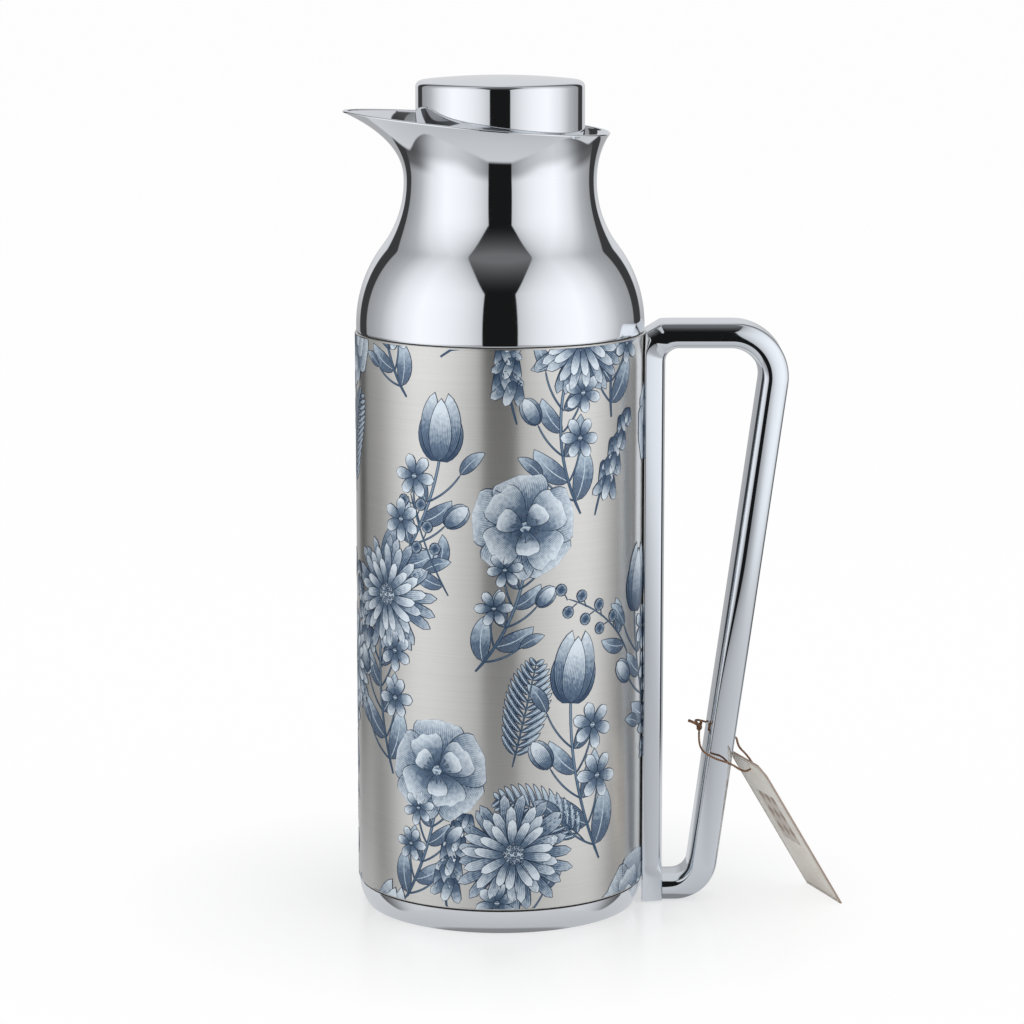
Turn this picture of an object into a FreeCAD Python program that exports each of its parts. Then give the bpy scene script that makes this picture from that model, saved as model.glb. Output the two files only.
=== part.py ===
import FreeCAD, Part
import math
import os
import types

import PartDesign
import Sketcher
from FreeCAD import Matrix, Placement, Rotation, Vector

# Insulated pouring jug: a glass vacuum liner in a steel sleeve, with a chrome shoulder and pouring lip,
# a threaded stopper whose chrome cap opens the pour valve, and a loop handle with a tag on a string.
# Millimetres. Z is up, the origin is the middle of the base, +X is the handle side, -X the spout.

DRIVING_SIZES = {
    # sleeve, its hems and the seams above and below it
    "sleeve_radius": 54.0,
    "sleeve_wall": 0.6,
    "sleeve_length": 208.2,
    "sleeve_hem": 2.6,
    "seam_gasket": 0.4,
    "seam_gasket_setback": 0.5,
    "shell_setback": 0.4,
    "spigot_wall": 1.6,
    "spigot_length": 10.0,
    "fit_gap": 0.15,
    # base ring, bottom cover and its screws
    "base_height": 9.0,
    "base_round": 16.9,
    "foot_inset": 2.6,
    "foot_width": 4.0,
    "plate_recess": 3.0,
    "plate_thickness": 2.5,
    "base_flange": 2.5,
    "base_flange_width": 7.0,
    "base_screw_radius": 1.5,
    "base_screw_head_radius": 2.7,
    "base_screw_head": 1.7,
    "base_screw_length": 4.4,
    "screw_gap": 0.2,
    # screwed cap and cushion that press the liner up
    "liner_cap_radius": 20.0,
    "liner_cap_height": 6.0,
    "liner_cap_slot": 3.0,
    "liner_cap_slot_length": 24.0,
    "liner_cap_slot_depth": 2.0,
    "cap_boss_wall": 2.7,
    "cap_boss_height": 5.5,
    "cushion_height": 5.0,
    "cushion_radius": 22.0,
    "cushion_bore": 6.0,
    # glass liner
    "liner_gap": 6.4,
    "glass_wall": 1.6,
    "vacuum_gap": 3.3,
    "liner_bottom_round": 24.0,
    "liner_shoulder_round": 20.0,
    "liner_neck_round": 14.0,
    "liner_shoulder_height": 28.0,
    "liner_neck_length": 16.0,
    "liner_neck_radius": 28.0,
    "mouth_radius": 23.0,
    "mouth_lip": 3.0,
    "mouth_lip_round": 1.0,
    "mouth_gasket": 2.0,
    # shoulder, neck and pouring lip
    "shell_wall": 1.2,
    "shell_ledge": 1.6,
    "shoulder_straight": 2.0,
    "shoulder_round": 48.0,
    "neck_radius": 35.7,
    "neck_rise": 53.0,
    "lip_back_radius": 40.6,
    "lip_back_rise": 18.1,
    "spout_reach": 58.2,
    "spout_rise": 26.1,
    "spout_angle": 32.0,
    # neck collar
    "collar_above_throat": 2.0,
    "collar_height": 18.0,
    "collar_ledge": 4.0,
    "collar_gap": 0.3,
    "collar_flange": 3.0,
    "collar_flange_width": 1.6,
    "collar_wall": 3.8,
    # coarse three-start thread of the stopper
    "thread_lead": 24.0,
    "thread_starts": 3.0,
    "thread_span": 50.0,
    "thread_depth": 1.9,
    "thread_thickness": 2.6,
    "thread_clearance": 0.3,
    "thread_start_rise": 1.3,
    # stopper body
    "seat_gap": 0.2,
    "stopper_gasket": 2.8,
    "stopper_gasket_overhang": 3.9,
    "nose_gap": 1.0,
    "nose_length": 13.0,
    "nose_wall": 2.4,
    "valve_seat_width": 7.5,
    "valve_seat_height": 2.4,
    "stopper_wall": 2.2,
    "stopper_flange_height": 11.9,
    "window_height": 7.0,
    "window_sill": 1.0,
    "window_angle": 40.0,
    "window_count": 6.0,
    "deck_thickness": 2.6,
    "stopper_rim_height": 8.8,
    "stopper_rim_wall": 1.8,
    "cap_guide_step": 0.6,
    "guide_radius": 8.0,
    "guide_below_deck": 5.1,
    "guide_above_deck": 2.8,
    "running_gap": 0.08,
    "stem_seal_radius": 5.8,
    "stem_seal_height": 2.2,
    "stem_seal_gap": 0.1,
    # valve and push cap
    "stem_radius": 3.5,
    "valve_disc_radius": 18.5,
    "valve_disc_thickness": 3.2,
    "valve_seal_thickness": 1.6,
    "valve_seal_width": 7.3,
    "cap_radius": 31.25,
    "cap_wall": 1.2,
    "cap_above_windows": 2.4,
    "cap_height": 23.4,
    "cap_dome": 1.9,
    "cap_edge_round": 2.2,
    "cap_core_gap": 0.1,
    "cap_core_slide_gap": 0.3,
    "cap_core_top": 5.0,
    "cap_core_drop": 2.1,
    "cap_core_skirt_lift": 2.1,
    "cap_boss_radius": 9.0,
    "cap_boss_length": 7.4,
    "stem_socket_depth": 5.5,
    "stem_screw_radius": 1.5,
    "stem_screw_head_radius": 3.0,
    "stem_screw_head": 1.6,
    "stem_screw_bite": 6.0,
    "spring_radius": 12.0,
    "spring_wire": 1.2,
    "spring_turns": 5.0,
    # handle
    "strip_thickness": 0.5,
    "strip_depth": 18.0,
    "strip_margin": 5.0,
    "rail_thickness": 6.65,
    "rail_wrap": 3.8,
    "rail_chamfer": 8.7,
    "rail_chamfer_drop": 5.3,
    "rail_inner_round": 4.0,
    "rail_stub": 5.0,
    "handle_depth": 22.0,
    "handle_rise": 3.2,
    "handle_foot": 0.6,
    "rail_edge": 2.3,
    "grip_edge": 4.2,
    "top_bar": 9.9,
    "bottom_bar": 9.0,
    "grip_thickness": 10.8,
    "grip_top_reach": 56.0,
    "grip_bottom_reach": 26.1,
    "grip_top_round": 20.5,
    "grip_bottom_round": 16.0,
    "grip_inner_top_round": 10.5,
    "grip_inner_bottom_round": 6.0,
    "dowel_radius": 2.0,
    "dowel_bite": 4.0,
    "handle_screw_inset": 24.0,
    "handle_screw_radius": 2.0,
    "handle_screw_head_radius": 3.5,
    "handle_screw_head": 2.0,
    "handle_screw_bite": 4.0,
    "backing_plate": 2.2,
    "backing_plate_width": 14.0,
    "backing_plate_height": 16.0,
    # swing tag and its string
    "tag_width": 31.2,
    "tag_length": 65.0,
    "tag_thickness": 0.6,
    "tag_clip": 4.0,
    "tag_hole_radius": 1.5,
    "tag_hole_inset": 5.0,
    "string_radius": 0.45,
    "knot_radius": 1.9,
    "knot_tail": 5.0,
    "knot_stub": 3.0,
}

# Shape of the pouring lip: how the flare grows with height, and how pointed the spout is.
BACK_FLARE_POWER = 2.2
SPOUT_FLARE_POWER = 3.2
SPOUT_RISE_POWER = 1.4
SPOUT_POINT_POWER = 1.4
LIP_STEPS = (0.0, 0.25, 0.45, 0.65, 0.82, 0.92, 1.0)
LIP_OVERSHOOT = 1.06
SHOULDER_STEPS = 8
SECTION_POINTS = 64

# Turns of the base screws about the axis, in degrees.
BASE_SCREW_TURNS = (60, 180, 300)

# The spring's gap to itself is measured at this many points a turn.
SPRING_POINTS = 24

# Places within this many millimetres count as the same, and a tube's volume may be off by this share.
SAME_PLACE = 1e-4
TUBE_VOLUME_SHARE = 0.02

# The tag leans with its lower edge on the table: lower back corner, and the way of its lower edge and sides.
TAG_CORNER = Vector(118.8, 17.0, 0.4)
TAG_ALONG = Vector(10.64, -29.33, 0.0)
TAG_UP = Vector(-31.6, -11.5, 55.6)

# The string's route round the outer bar and through the tag's hole, from the knot and back to it.
STRING_ROUTE = (
    Vector(75.2, -4.0, 66.6),
    Vector(74.6, -9.5, 63.5),
    Vector(75.6, -14.2, 60.0),
    Vector(80.5, -15.0, 57.2),
    Vector(86.5, -15.0, 55.4),
    Vector(90.3, -12.6, 52.2),
    Vector(92.7, -9.4, 50.6),
    Vector(96.4, -7.0, 52.8),
    Vector(95.6, -3.4, 57.2),
    Vector(92.0, 1.4, 60.4),
    Vector(90.4, 7.0, 61.8),
    Vector(90.6, 11.4, 62.6),
    Vector(88.0, 14.8, 63.4),
    Vector(82.6, 15.2, 64.6),
    Vector(77.0, 14.6, 65.6),
    Vector(74.4, 9.8, 66.4),
    Vector(74.2, 3.5, 67.0),
    Vector(75.2, -2.2, 67.2),
)
STRING_ARC_SHARE = 0.45
KNOT_TAIL_WAY = Vector(-3.8, -0.5, 2.2)
KNOT_STUB_WAY = Vector(0.6, -0.8, 2.4)


class Size:
    """A size with its number and the sheet expression that gives it."""

    def __init__(self, value, text):
        self.value = value
        self.text = text

    def combine(self, other, sign, number):
        return Size(number, f"({self.text} {sign} {other.text})")

    def __add__(self, other):
        other = as_size(other)
        return self.combine(other, "+", self.value + other.value)

    def __sub__(self, other):
        other = as_size(other)
        return self.combine(other, "-", self.value - other.value)

    def __mul__(self, other):
        other = as_size(other)
        return self.combine(other, "*", self.value * other.value)

    def __truediv__(self, other):
        other = as_size(other)
        return self.combine(other, "/", self.value / other.value)

    def __neg__(self):
        return as_size(0) - self


def as_size(number):
    return number if isinstance(number, Size) else Size(float(number), repr(float(number)))


def root(size):
    return Size(math.sqrt(size.value), f"sqrt({size.text})")


doc = FreeCAD.newDocument("pouring_jug")
sheet = doc.addObject("Spreadsheet::Sheet", "sizes")
for row, (alias, number) in enumerate(DRIVING_SIZES.items(), start=1):
    sheet.set(f"A{row}", alias)
    sheet.set(f"B{row}", str(number))
    sheet.setAlias(f"B{row}", alias)
doc.recompute()
s = types.SimpleNamespace()
for alias in DRIVING_SIZES:
    setattr(s, alias, Size(float(sheet.get(alias)), f"sizes.{alias}"))
zero = as_size(0)
pieces = []


def piece(obj, label):
    """Names a finished sub-part and keeps it for writing."""
    obj.Label = label
    pieces.append(obj)
    return obj


def corner(across, up, rounding=None, arc=None):
    """One corner of an outline: its place, a rounding there, or the radius of an arc to the next corner."""
    return types.SimpleNamespace(
        across=as_size(across),
        up=as_size(up),
        rounding=rounding,
        arc=arc,
        at=Vector(as_size(across).value, as_size(up).value, 0),
    )


def origin_plane(body, role):
    return next(o for o in body.Origin.OriginFeatures if o.Role == role)


def arc_through(start, end, centre, radius, turns_left):
    first, last = (start, end) if turns_left else (end, start)
    circle = Part.Circle(centre, Vector(0, 0, 1), radius)
    angles = [math.atan2(p.y - centre.y, p.x - centre.x) for p in (first, last)]
    return Part.ArcOfCircle(circle, angles[0], angles[1])


def rounding_arc(before, here, after, radius):
    """Start, end and centre of the arc that rounds a corner, and whether the outline turns left there."""
    back = (before - here).normalize()
    on = (after - here).normalize()
    half = back.getAngle(on) / 2
    reach = radius / math.tan(half)
    middle = (back + on).normalize() * (radius / math.sin(half))
    turns_left = on.cross(back).z > 0
    return here + back * reach, here + on * reach, here + middle, turns_left


def bulge_centre(start, end, radius):
    """Centre of an arc that bulges to the right of the way from start to end."""
    chord = end - start
    left = Vector(-chord.y, chord.x, 0).normalize()
    return (start + end) / 2 + left * math.sqrt(radius**2 - chord.Length**2 / 4)


def outline_sketch(body, name, role, corners):
    """A closed outline whose corners and radii are bound to the sheet."""
    sketch = body.newObject("Sketcher::SketchObject", name)
    sketch.AttachmentSupport = [(origin_plane(body, role), "")]
    sketch.MapMode = "FlatFace"
    bound = []
    geometry = []
    rules = []
    count = len(corners)
    ends = []
    for i, c in enumerate(corners):
        if c.rounding is None:
            ends.append((c.at, c.at, None, None))
        else:
            before, after = corners[i - 1].at, corners[(i + 1) % count].at
            ends.append(rounding_arc(before, c.at, after, c.rounding.value))
    for i, c in enumerate(corners):
        start = ends[i][1]
        end = ends[(i + 1) % count][0]
        if c.arc is None:
            geometry.append(Part.LineSegment(start, end))
        else:
            centre = bulge_centre(start, end, c.arc.value)
            geometry.append(arc_through(start, end, centre, c.arc.value, True))
            bound.append((Sketcher.Constraint("Radius", i, c.arc.value), c.arc))
    spare = count
    for i, c in enumerate(corners):
        before = (i - 1) % count
        spot = (i, 1)
        if c.rounding is None:
            rules.append(Sketcher.Constraint("Coincident", before, 2, i, 1))
        else:
            start, end, centre, turns_left = ends[i]
            geometry.append(arc_through(start, end, centre, c.rounding.value, turns_left))
            arc_id, spare = spare, spare + 1
            first, last = (1, 2) if turns_left else (2, 1)
            rules.append(Sketcher.Constraint("Tangent", before, 2, arc_id, first))
            rules.append(Sketcher.Constraint("Tangent", arc_id, last, i, 1))
            bound.append((Sketcher.Constraint("Radius", arc_id, c.rounding.value), c.rounding))
            geometry.append(Part.Point(c.at))
            spot = (spare, 1)
            rules.append(Sketcher.Constraint("PointOnObject", spare, 1, before))
            rules.append(Sketcher.Constraint("PointOnObject", spare, 1, i))
            spare += 1
        for kind, size, axis in (("DistanceX", c.across, -2), ("DistanceY", c.up, -1)):
            if size is zero:
                rules.append(Sketcher.Constraint("PointOnObject", *spot, axis))
            else:
                bound.append((Sketcher.Constraint(kind, -1, 1, *spot, size.value), size))
    for shape in geometry:
        sketch.addGeometry(shape, isinstance(shape, Part.Point))
    sketch.addConstraint(rules)
    for rule, size in bound:
        index = sketch.addConstraint(rule)
        sketch.setExpression(f"Constraints[{index}]", size.text)
    return sketch


def turn(body, sketch, kind="PartDesign::Revolution", angle=None):
    """Turns an outline about the jug's axis, adding or cutting, all round or over one angle."""
    feature = body.newObject(kind, sketch.Name + "_turn")
    feature.Profile = sketch
    feature.ReferenceAxis = (sketch, ["V_Axis"])
    feature.Angle = 360
    if angle is not None:
        feature.Midplane = True
        feature.setExpression("Angle", angle.text)
    body.Tip = feature
    return feature


def turned_body(name, corners):
    """A body of one outline, across and up, turned all round the jug's axis."""
    body = doc.addObject("PartDesign::Body", name)
    turn(body, outline_sketch(body, name + "_outline", "XZ_Plane", corners))
    return body


def turned_piece(label, corners):
    return piece(turned_body(label, corners), label)


def ring(label, inner, outer, bottom, top):
    """A plain ring or, with no inner radius, a disc."""
    outline = [corner(inner, bottom), corner(outer, bottom), corner(outer, top), corner(inner, top)]
    return turned_piece(label, outline)


def place(obj, x, y, z, rotation=None):
    obj.Placement = Placement(Vector(x.value, y.value, z.value), rotation or Rotation())
    for axis, size in zip("xyz", (x, y, z)):
        obj.setExpression(f"Placement.Base.{axis}", size.text)
    return obj


def rod(name, radius, length, x, y, z, rotation=None):
    """A cylinder from a point along Z, or along the way that a rotation takes Z."""
    cylinder = doc.addObject("Part::Cylinder", name)
    cylinder.setExpression("Radius", radius.text)
    cylinder.setExpression("Height", length.text)
    return place(cylinder, x, y, z, rotation)


def block(name, length, depth, height, x, y, z):
    box = doc.addObject("Part::Box", name)
    for side, size in (("Length", length), ("Width", depth), ("Height", height)):
        box.setExpression(side, size.text)
    return place(box, x, y, z)


def group(name, members, kind="Part::Compound"):
    joined = doc.addObject(kind, name)
    setattr(joined, "Links" if kind == "Part::Compound" else "Shapes", members)
    return joined


def cut(name, base, tool):
    result = doc.addObject("Part::Cut", name)
    result.Base = base
    result.Tool = tool
    return result


along_x = Rotation(Vector(0, 1, 0), 90)

# Heights and radii that several pieces share, from the base up and from the throat of the neck down.
sleeve_inner = s.sleeve_radius - s.sleeve_wall
hem_inner = s.sleeve_radius - s.sleeve_hem
spigot_outer = hem_inner - s.fit_gap
spigot_inner = spigot_outer - s.spigot_wall
shell_radius = s.sleeve_radius - s.shell_setback
gasket_outer = s.sleeve_radius - s.seam_gasket_setback
sleeve_bottom = s.base_height + s.seam_gasket
sleeve_top = sleeve_bottom + s.sleeve_length
ledge = sleeve_top + s.seam_gasket
throat = ledge + s.shoulder_straight + s.neck_rise

foot_outer = shell_radius - s.foot_inset
foot_inner = foot_outer - s.foot_width
flange_bottom = s.plate_recess + s.plate_thickness
flange_top = flange_bottom + s.base_flange
flange_inner = foot_inner - s.base_flange_width
base_screw_circle = (foot_inner + flange_inner) / 2
liner_cap_top = s.plate_recess + s.liner_cap_height
liner_bottom = liner_cap_top + s.cushion_height

collar_top = throat + s.collar_above_throat
collar_bottom = collar_top - s.collar_height
collar_outer = s.neck_radius - s.shell_wall - s.collar_gap
collar_bore = collar_outer - s.collar_wall
stopper_seat = collar_bottom + s.collar_ledge
mouth_top = collar_bottom - s.mouth_gasket
mouth_plane = mouth_top - s.mouth_lip
liner_neck_bottom = mouth_plane - s.liner_neck_length
liner_shoulder = liner_neck_bottom - s.liner_shoulder_height
liner_outer = sleeve_inner - s.liner_gap
inner_bottle = liner_outer - s.glass_wall - s.vacuum_gap
inner_bottle_bottom = liner_bottom + s.glass_wall + s.vacuum_gap

gasket_bottom = stopper_seat + s.seat_gap
stopper_flange = gasket_bottom + s.stopper_gasket
nose_radius = s.mouth_radius - s.nose_gap
nose_bore = nose_radius - s.nose_wall
nose_bottom = stopper_flange - s.nose_length - s.valve_seat_height
stopper_radius = collar_bore - s.thread_depth - s.thread_clearance - s.seat_gap
lug_tip = stopper_radius + s.thread_depth
windows_bottom = stopper_flange + s.stopper_flange_height + s.window_sill
windows_top = windows_bottom + s.window_height
deck_top = windows_top + s.deck_thickness
stopper_wall_outer = stopper_radius - s.cap_guide_step
stopper_wall_inner = stopper_wall_outer - s.stopper_wall
rim_top = deck_top + s.stopper_rim_height
guide_bottom = windows_top - s.guide_below_deck
guide_top = deck_top + s.guide_above_deck
guide_bore = s.stem_radius + s.running_gap
seal_top = guide_bottom + s.stem_seal_height

cap_bottom = windows_top + s.cap_above_windows
cap_edge = cap_bottom + s.cap_height
cap_top = cap_edge + s.cap_dome
cap_inner = s.cap_radius - s.cap_wall
core_outer = cap_inner - s.cap_core_gap
core_inner = stopper_wall_outer + s.cap_core_slide_gap
core_top = cap_edge - s.cap_core_drop
core_underside = core_top - s.cap_core_top
boss_bottom = core_underside - s.cap_boss_length
stem_top = boss_bottom + s.stem_socket_depth
valve_seal_top = nose_bottom - s.seat_gap
valve_disc_top = valve_seal_top - s.valve_seal_thickness
valve_disc_bottom = valve_disc_top - s.valve_disc_thickness

strip_face = s.sleeve_radius + s.strip_thickness
saddle_radius = strip_face + s.fit_gap
rail_back = saddle_radius - s.rail_wrap
rail_face = saddle_radius + s.rail_thickness
stub_end = rail_face + s.rail_stub
handle_top = ledge + s.handle_rise
half_depth = s.handle_depth / 2
top_bar_bottom = handle_top - s.top_bar
bottom_bar_top = s.handle_foot + s.bottom_bar
screw_heights = (sleeve_bottom + s.handle_screw_inset, sleeve_top - s.handle_screw_inset)


def base_pieces():
    ring_blank = turned_body(
        "base_ring_blank",
        [
            corner(foot_inner, zero),
            corner(foot_outer, zero, arc=s.base_round),
            corner(shell_radius, s.base_height),
            corner(spigot_outer, s.base_height),
            corner(spigot_outer, s.base_height + s.spigot_length),
            corner(spigot_inner, s.base_height + s.spigot_length),
            corner(spigot_inner, flange_top),
            corner(flange_inner, flange_top),
            corner(flange_inner, flange_bottom),
            corner(foot_inner, flange_bottom),
        ],
    )
    boss_outer = s.liner_cap_radius + s.fit_gap + s.cap_boss_wall
    plate_blank = turned_body(
        "base_plate_blank",
        [
            corner(s.liner_cap_radius + s.fit_gap, s.plate_recess),
            corner(foot_inner - s.screw_gap, s.plate_recess),
            corner(foot_inner - s.screw_gap, flange_bottom),
            corner(boss_outer, flange_bottom),
            corner(boss_outer, s.plate_recess + s.cap_boss_height),
            corner(s.liner_cap_radius + s.fit_gap, s.plate_recess + s.cap_boss_height),
        ],
    )
    screws, plate_holes, ring_holes = [], [], []
    shank_bottom = s.plate_recess
    for i, degrees in enumerate(BASE_SCREW_TURNS):
        x = base_screw_circle * math.cos(math.radians(degrees))
        y = base_screw_circle * math.sin(math.radians(degrees))
        head = rod(f"base_screw_head_{i}", s.base_screw_head_radius, s.base_screw_head, x, y,
                   s.plate_recess - s.base_screw_head)
        shank = rod(f"base_screw_shank_{i}", s.base_screw_radius, s.base_screw_length, x, y, shank_bottom)
        screws.append(group(f"base_screw_{i}", [head, shank], "Part::MultiFuse"))
        plate_holes.append(rod(f"plate_hole_{i}", s.base_screw_radius + s.screw_gap,
                               s.plate_thickness + s.screw_gap * 2, x, y, s.plate_recess - s.screw_gap))
        ring_holes.append(rod(f"ring_hole_{i}", s.base_screw_radius + s.running_gap,
                              s.base_screw_length + s.screw_gap, x, y, shank_bottom))
    piece(cut("base_ring", ring_blank, group("ring_holes", ring_holes)), "base_ring")
    piece(cut("base_plate", plate_blank, group("plate_holes", plate_holes)), "base_plate")
    piece(group("base_screws", screws), "base_screws")

    cap_blank = turned_body(
        "liner_cap_blank",
        [
            corner(zero, s.plate_recess),
            corner(s.liner_cap_radius, s.plate_recess),
            corner(s.liner_cap_radius, liner_cap_top),
            corner(zero, liner_cap_top),
        ],
    )
    slot = block("liner_cap_coin_slot", s.liner_cap_slot_length, s.liner_cap_slot, s.liner_cap_slot_depth,
                 -s.liner_cap_slot_length / 2, -s.liner_cap_slot / 2, s.plate_recess)
    piece(cut("liner_screw_cap", cap_blank, slot), "liner_screw_cap")
    ring("liner_cushion", s.cushion_bore, s.cushion_radius, liner_cap_top, liner_bottom)


def liner_pieces():
    """Two blown bottles that meet at the mouth, with the vacuum between them."""
    wall = s.glass_wall
    outer_neck_bore = s.liner_neck_radius - wall
    turned_piece(
        "liner_outer_bottle",
        [
            corner(zero, liner_bottom),
            corner(liner_outer, liner_bottom, s.liner_bottom_round),
            corner(liner_outer, liner_shoulder, s.liner_shoulder_round + wall),
            corner(s.liner_neck_radius, liner_neck_bottom, s.liner_neck_round),
            corner(s.liner_neck_radius, mouth_plane),
            corner(outer_neck_bore, mouth_plane),
            corner(outer_neck_bore, liner_neck_bottom - wall / 2, s.liner_neck_round + wall),
            corner(liner_outer - wall, liner_shoulder - wall / 2, s.liner_shoulder_round),
            corner(liner_outer - wall, liner_bottom + wall, s.liner_bottom_round - wall),
            corner(zero, liner_bottom + wall),
        ],
    )
    bore = inner_bottle - wall
    neck_outer = s.mouth_radius + wall
    turned_piece(
        "liner_inner_bottle",
        [
            corner(zero, inner_bottle_bottom),
            corner(inner_bottle, inner_bottle_bottom, s.liner_shoulder_round),
            corner(inner_bottle, liner_shoulder - s.vacuum_gap / 2, s.liner_shoulder_round),
            corner(neck_outer, liner_neck_bottom - s.vacuum_gap, s.liner_neck_round),
            corner(neck_outer, mouth_plane),
            corner(s.liner_neck_radius, mouth_plane),
            corner(s.liner_neck_radius, mouth_top, s.mouth_lip_round),
            corner(s.mouth_radius, mouth_top, s.mouth_lip_round),
            corner(s.mouth_radius, liner_neck_bottom - s.vacuum_gap - wall / 2, s.liner_neck_round + wall),
            corner(bore, liner_shoulder - s.vacuum_gap / 2 - wall / 2, s.liner_shoulder_round - wall),
            corner(bore, inner_bottle_bottom + wall, s.liner_shoulder_round - wall),
            corner(zero, inner_bottle_bottom + wall),
        ],
    )
    ring("liner_mouth_gasket", s.mouth_radius + s.fit_gap, s.liner_neck_radius, mouth_top, collar_bottom)


def shoulder_radius_at(height):
    """Radius of the shoulder: a convex arc and a concave one that meet without a crease, up to the throat."""
    fall = shell_radius.value - s.neck_radius.value
    rise = s.neck_rise.value
    both_rounds = (fall**2 + rise**2) / (2 * fall)
    neck_round = both_rounds - s.shoulder_round.value
    above = max(0.0, height - ledge.value - s.shoulder_straight.value)
    meeting = rise * s.shoulder_round.value / both_rounds
    if above <= meeting:
        return shell_radius.value - s.shoulder_round.value + math.sqrt(s.shoulder_round.value**2 - above**2)
    below_throat = rise - above
    return s.neck_radius.value + neck_round - math.sqrt(neck_round**2 - below_throat**2)


def closed_section(points):
    curve = Part.BSplineCurve()
    curve.interpolate(points, PeriodicFlag=True)
    return Part.Wire([curve.toShape()])


def round_section(radius, height):
    turns = [2 * math.pi * i / SECTION_POINTS for i in range(SECTION_POINTS)]
    return closed_section([Vector(radius * math.cos(a), radius * math.sin(a), height) for a in turns])


def lip_section(step, inset):
    """A section of the lip at a share of its height: round behind, drawn out to the spout, tilted."""
    neck = s.neck_radius.value
    back = neck + (s.lip_back_radius.value - neck) * step**BACK_FLARE_POWER
    tip = neck + (s.spout_reach.value - neck) * step**SPOUT_FLARE_POWER
    back_height = throat.value + s.lip_back_rise.value * step
    tip_height = throat.value + s.spout_rise.value * step**SPOUT_RISE_POWER
    points = []
    for i in range(SECTION_POINTS):
        angle = 2 * math.pi * i / SECTION_POINTS
        off_spout = abs(angle - math.pi)
        share = math.exp(-((off_spout / math.radians(s.spout_angle.value)) ** SPOUT_POINT_POWER))
        radius = back + (tip - back) * share - inset
        x = radius * math.cos(angle)
        lift = (tip_height - back_height) * (back - x) / (back + tip)
        points.append(Vector(x, radius * math.sin(angle), back_height + lift))
    return closed_section(points)


def shoulder_sections(bottom, inset, last_step):
    """Sections from a height on the straight part up to the lip, moved in by a wall for the inside."""
    start = ledge.value + s.shoulder_straight.value
    rise = s.neck_rise.value
    heights = [bottom] + [start + rise * i / SHOULDER_STEPS for i in range(SHOULDER_STEPS)]
    sections = [round_section(shoulder_radius_at(z) - inset, z) for z in heights]
    sections += [lip_section(step, inset) for step in LIP_STEPS]
    if last_step > 1:
        sections.append(lip_section(last_step, inset))
    return sections


def shoulder_piece():
    """The shell is lofted through sections because its lip is not round, so no turned outline fits it."""
    outside = Part.makeLoft(shoulder_sections(ledge.value, 0.0, 1.0), True, False)
    inner_bottom = ledge.value + s.shell_ledge.value
    inside = Part.makeLoft(shoulder_sections(inner_bottom, s.shell_wall.value, LIP_OVERSHOOT), True, False)
    spigot_bottom = Vector(0, 0, ledge.value - s.spigot_length.value)
    spigot = Part.makeCylinder(spigot_outer.value, s.spigot_length.value, spigot_bottom)
    bore_length = s.spigot_length.value + 2 * s.shell_ledge.value
    bore = Part.makeCylinder(spigot_inner.value, bore_length, spigot_bottom)
    shell = doc.addObject("Part::Feature", "shoulder_shell")
    shell.Shape = outside.fuse(spigot).cut(inside).cut(bore)
    shell.Placement = Placement()
    piece(shell, "shoulder_shell")


def sleeve_pieces():
    wall = s.sleeve_wall
    blank = turned_body(
        "sleeve_blank",
        [
            corner(s.sleeve_radius, sleeve_bottom),
            corner(s.sleeve_radius, sleeve_top),
            corner(hem_inner, sleeve_top),
            corner(hem_inner, sleeve_top - wall),
            corner(sleeve_inner, sleeve_top - wall),
            corner(sleeve_inner, sleeve_bottom + wall),
            corner(hem_inner, sleeve_bottom + wall),
            corner(hem_inner, sleeve_bottom),
        ],
    )
    screw_holes = handle_screw_holes("sleeve", s.screw_gap, s.rail_thickness)
    piece(cut("steel_sleeve", blank, screw_holes), "steel_sleeve")
    ring("lower_seam_gasket", hem_inner, gasket_outer, s.base_height, sleeve_bottom)
    ring("upper_seam_gasket", hem_inner, gasket_outer, sleeve_top, ledge)


def thread_sketch(body, name, inner, outer, middle):
    half = s.thread_thickness / 2
    corners = [
        corner(inner, middle - half),
        corner(outer, middle - half),
        corner(outer, middle + half),
        corner(inner, middle + half),
    ]
    return outline_sketch(body, name, "XZ_Plane", corners)


def add_thread(body, sketch):
    """Adds one short helical rib of the thread and repeats it for each start."""
    rib = body.newObject("PartDesign::AdditiveHelix", sketch.Name + "_rib")
    rib.Profile = sketch
    rib.ReferenceAxis = (sketch, ["V_Axis"])
    rib.Mode = 0
    rib.setExpression("Pitch", s.thread_lead.text)
    rib.setExpression("Height", (s.thread_lead * s.thread_span / 360).text)
    body.Tip = rib
    doc.recompute()
    repeat_round(body, rib, s.thread_starts)


def repeat_round(body, feature, count):
    pattern = body.newObject("PartDesign::PolarPattern", feature.Name + "_round")
    pattern.Originals = [feature]
    pattern.Axis = (origin_plane(body, "Z_Axis"), [""])
    pattern.Angle = 360
    pattern.setExpression("Occurrences", count.text)
    body.Tip = pattern
    doc.recompute()


thread_middle = stopper_flange + s.thread_start_rise + s.thread_thickness / 2


def collar_piece():
    flange_outer = collar_outer + s.collar_flange_width
    collar = turned_body(
        "neck_collar",
        [
            corner(s.mouth_radius + s.fit_gap, collar_bottom),
            corner(flange_outer, collar_bottom),
            corner(flange_outer, collar_bottom + s.collar_flange),
            corner(collar_outer, collar_bottom + s.collar_flange + s.collar_flange_width),
            corner(collar_outer, collar_top),
            corner(collar_bore, collar_top),
            corner(collar_bore, stopper_seat),
            corner(s.mouth_radius + s.fit_gap, stopper_seat),
        ],
    )
    ramp_inner = stopper_radius + s.thread_clearance
    ramp_middle = thread_middle + s.thread_thickness + s.thread_clearance
    doc.recompute()
    ramp = thread_sketch(collar, "collar_ramp", ramp_inner, collar_bore + s.fit_gap, ramp_middle)
    add_thread(collar, ramp)
    piece(collar, "neck_collar")


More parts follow.
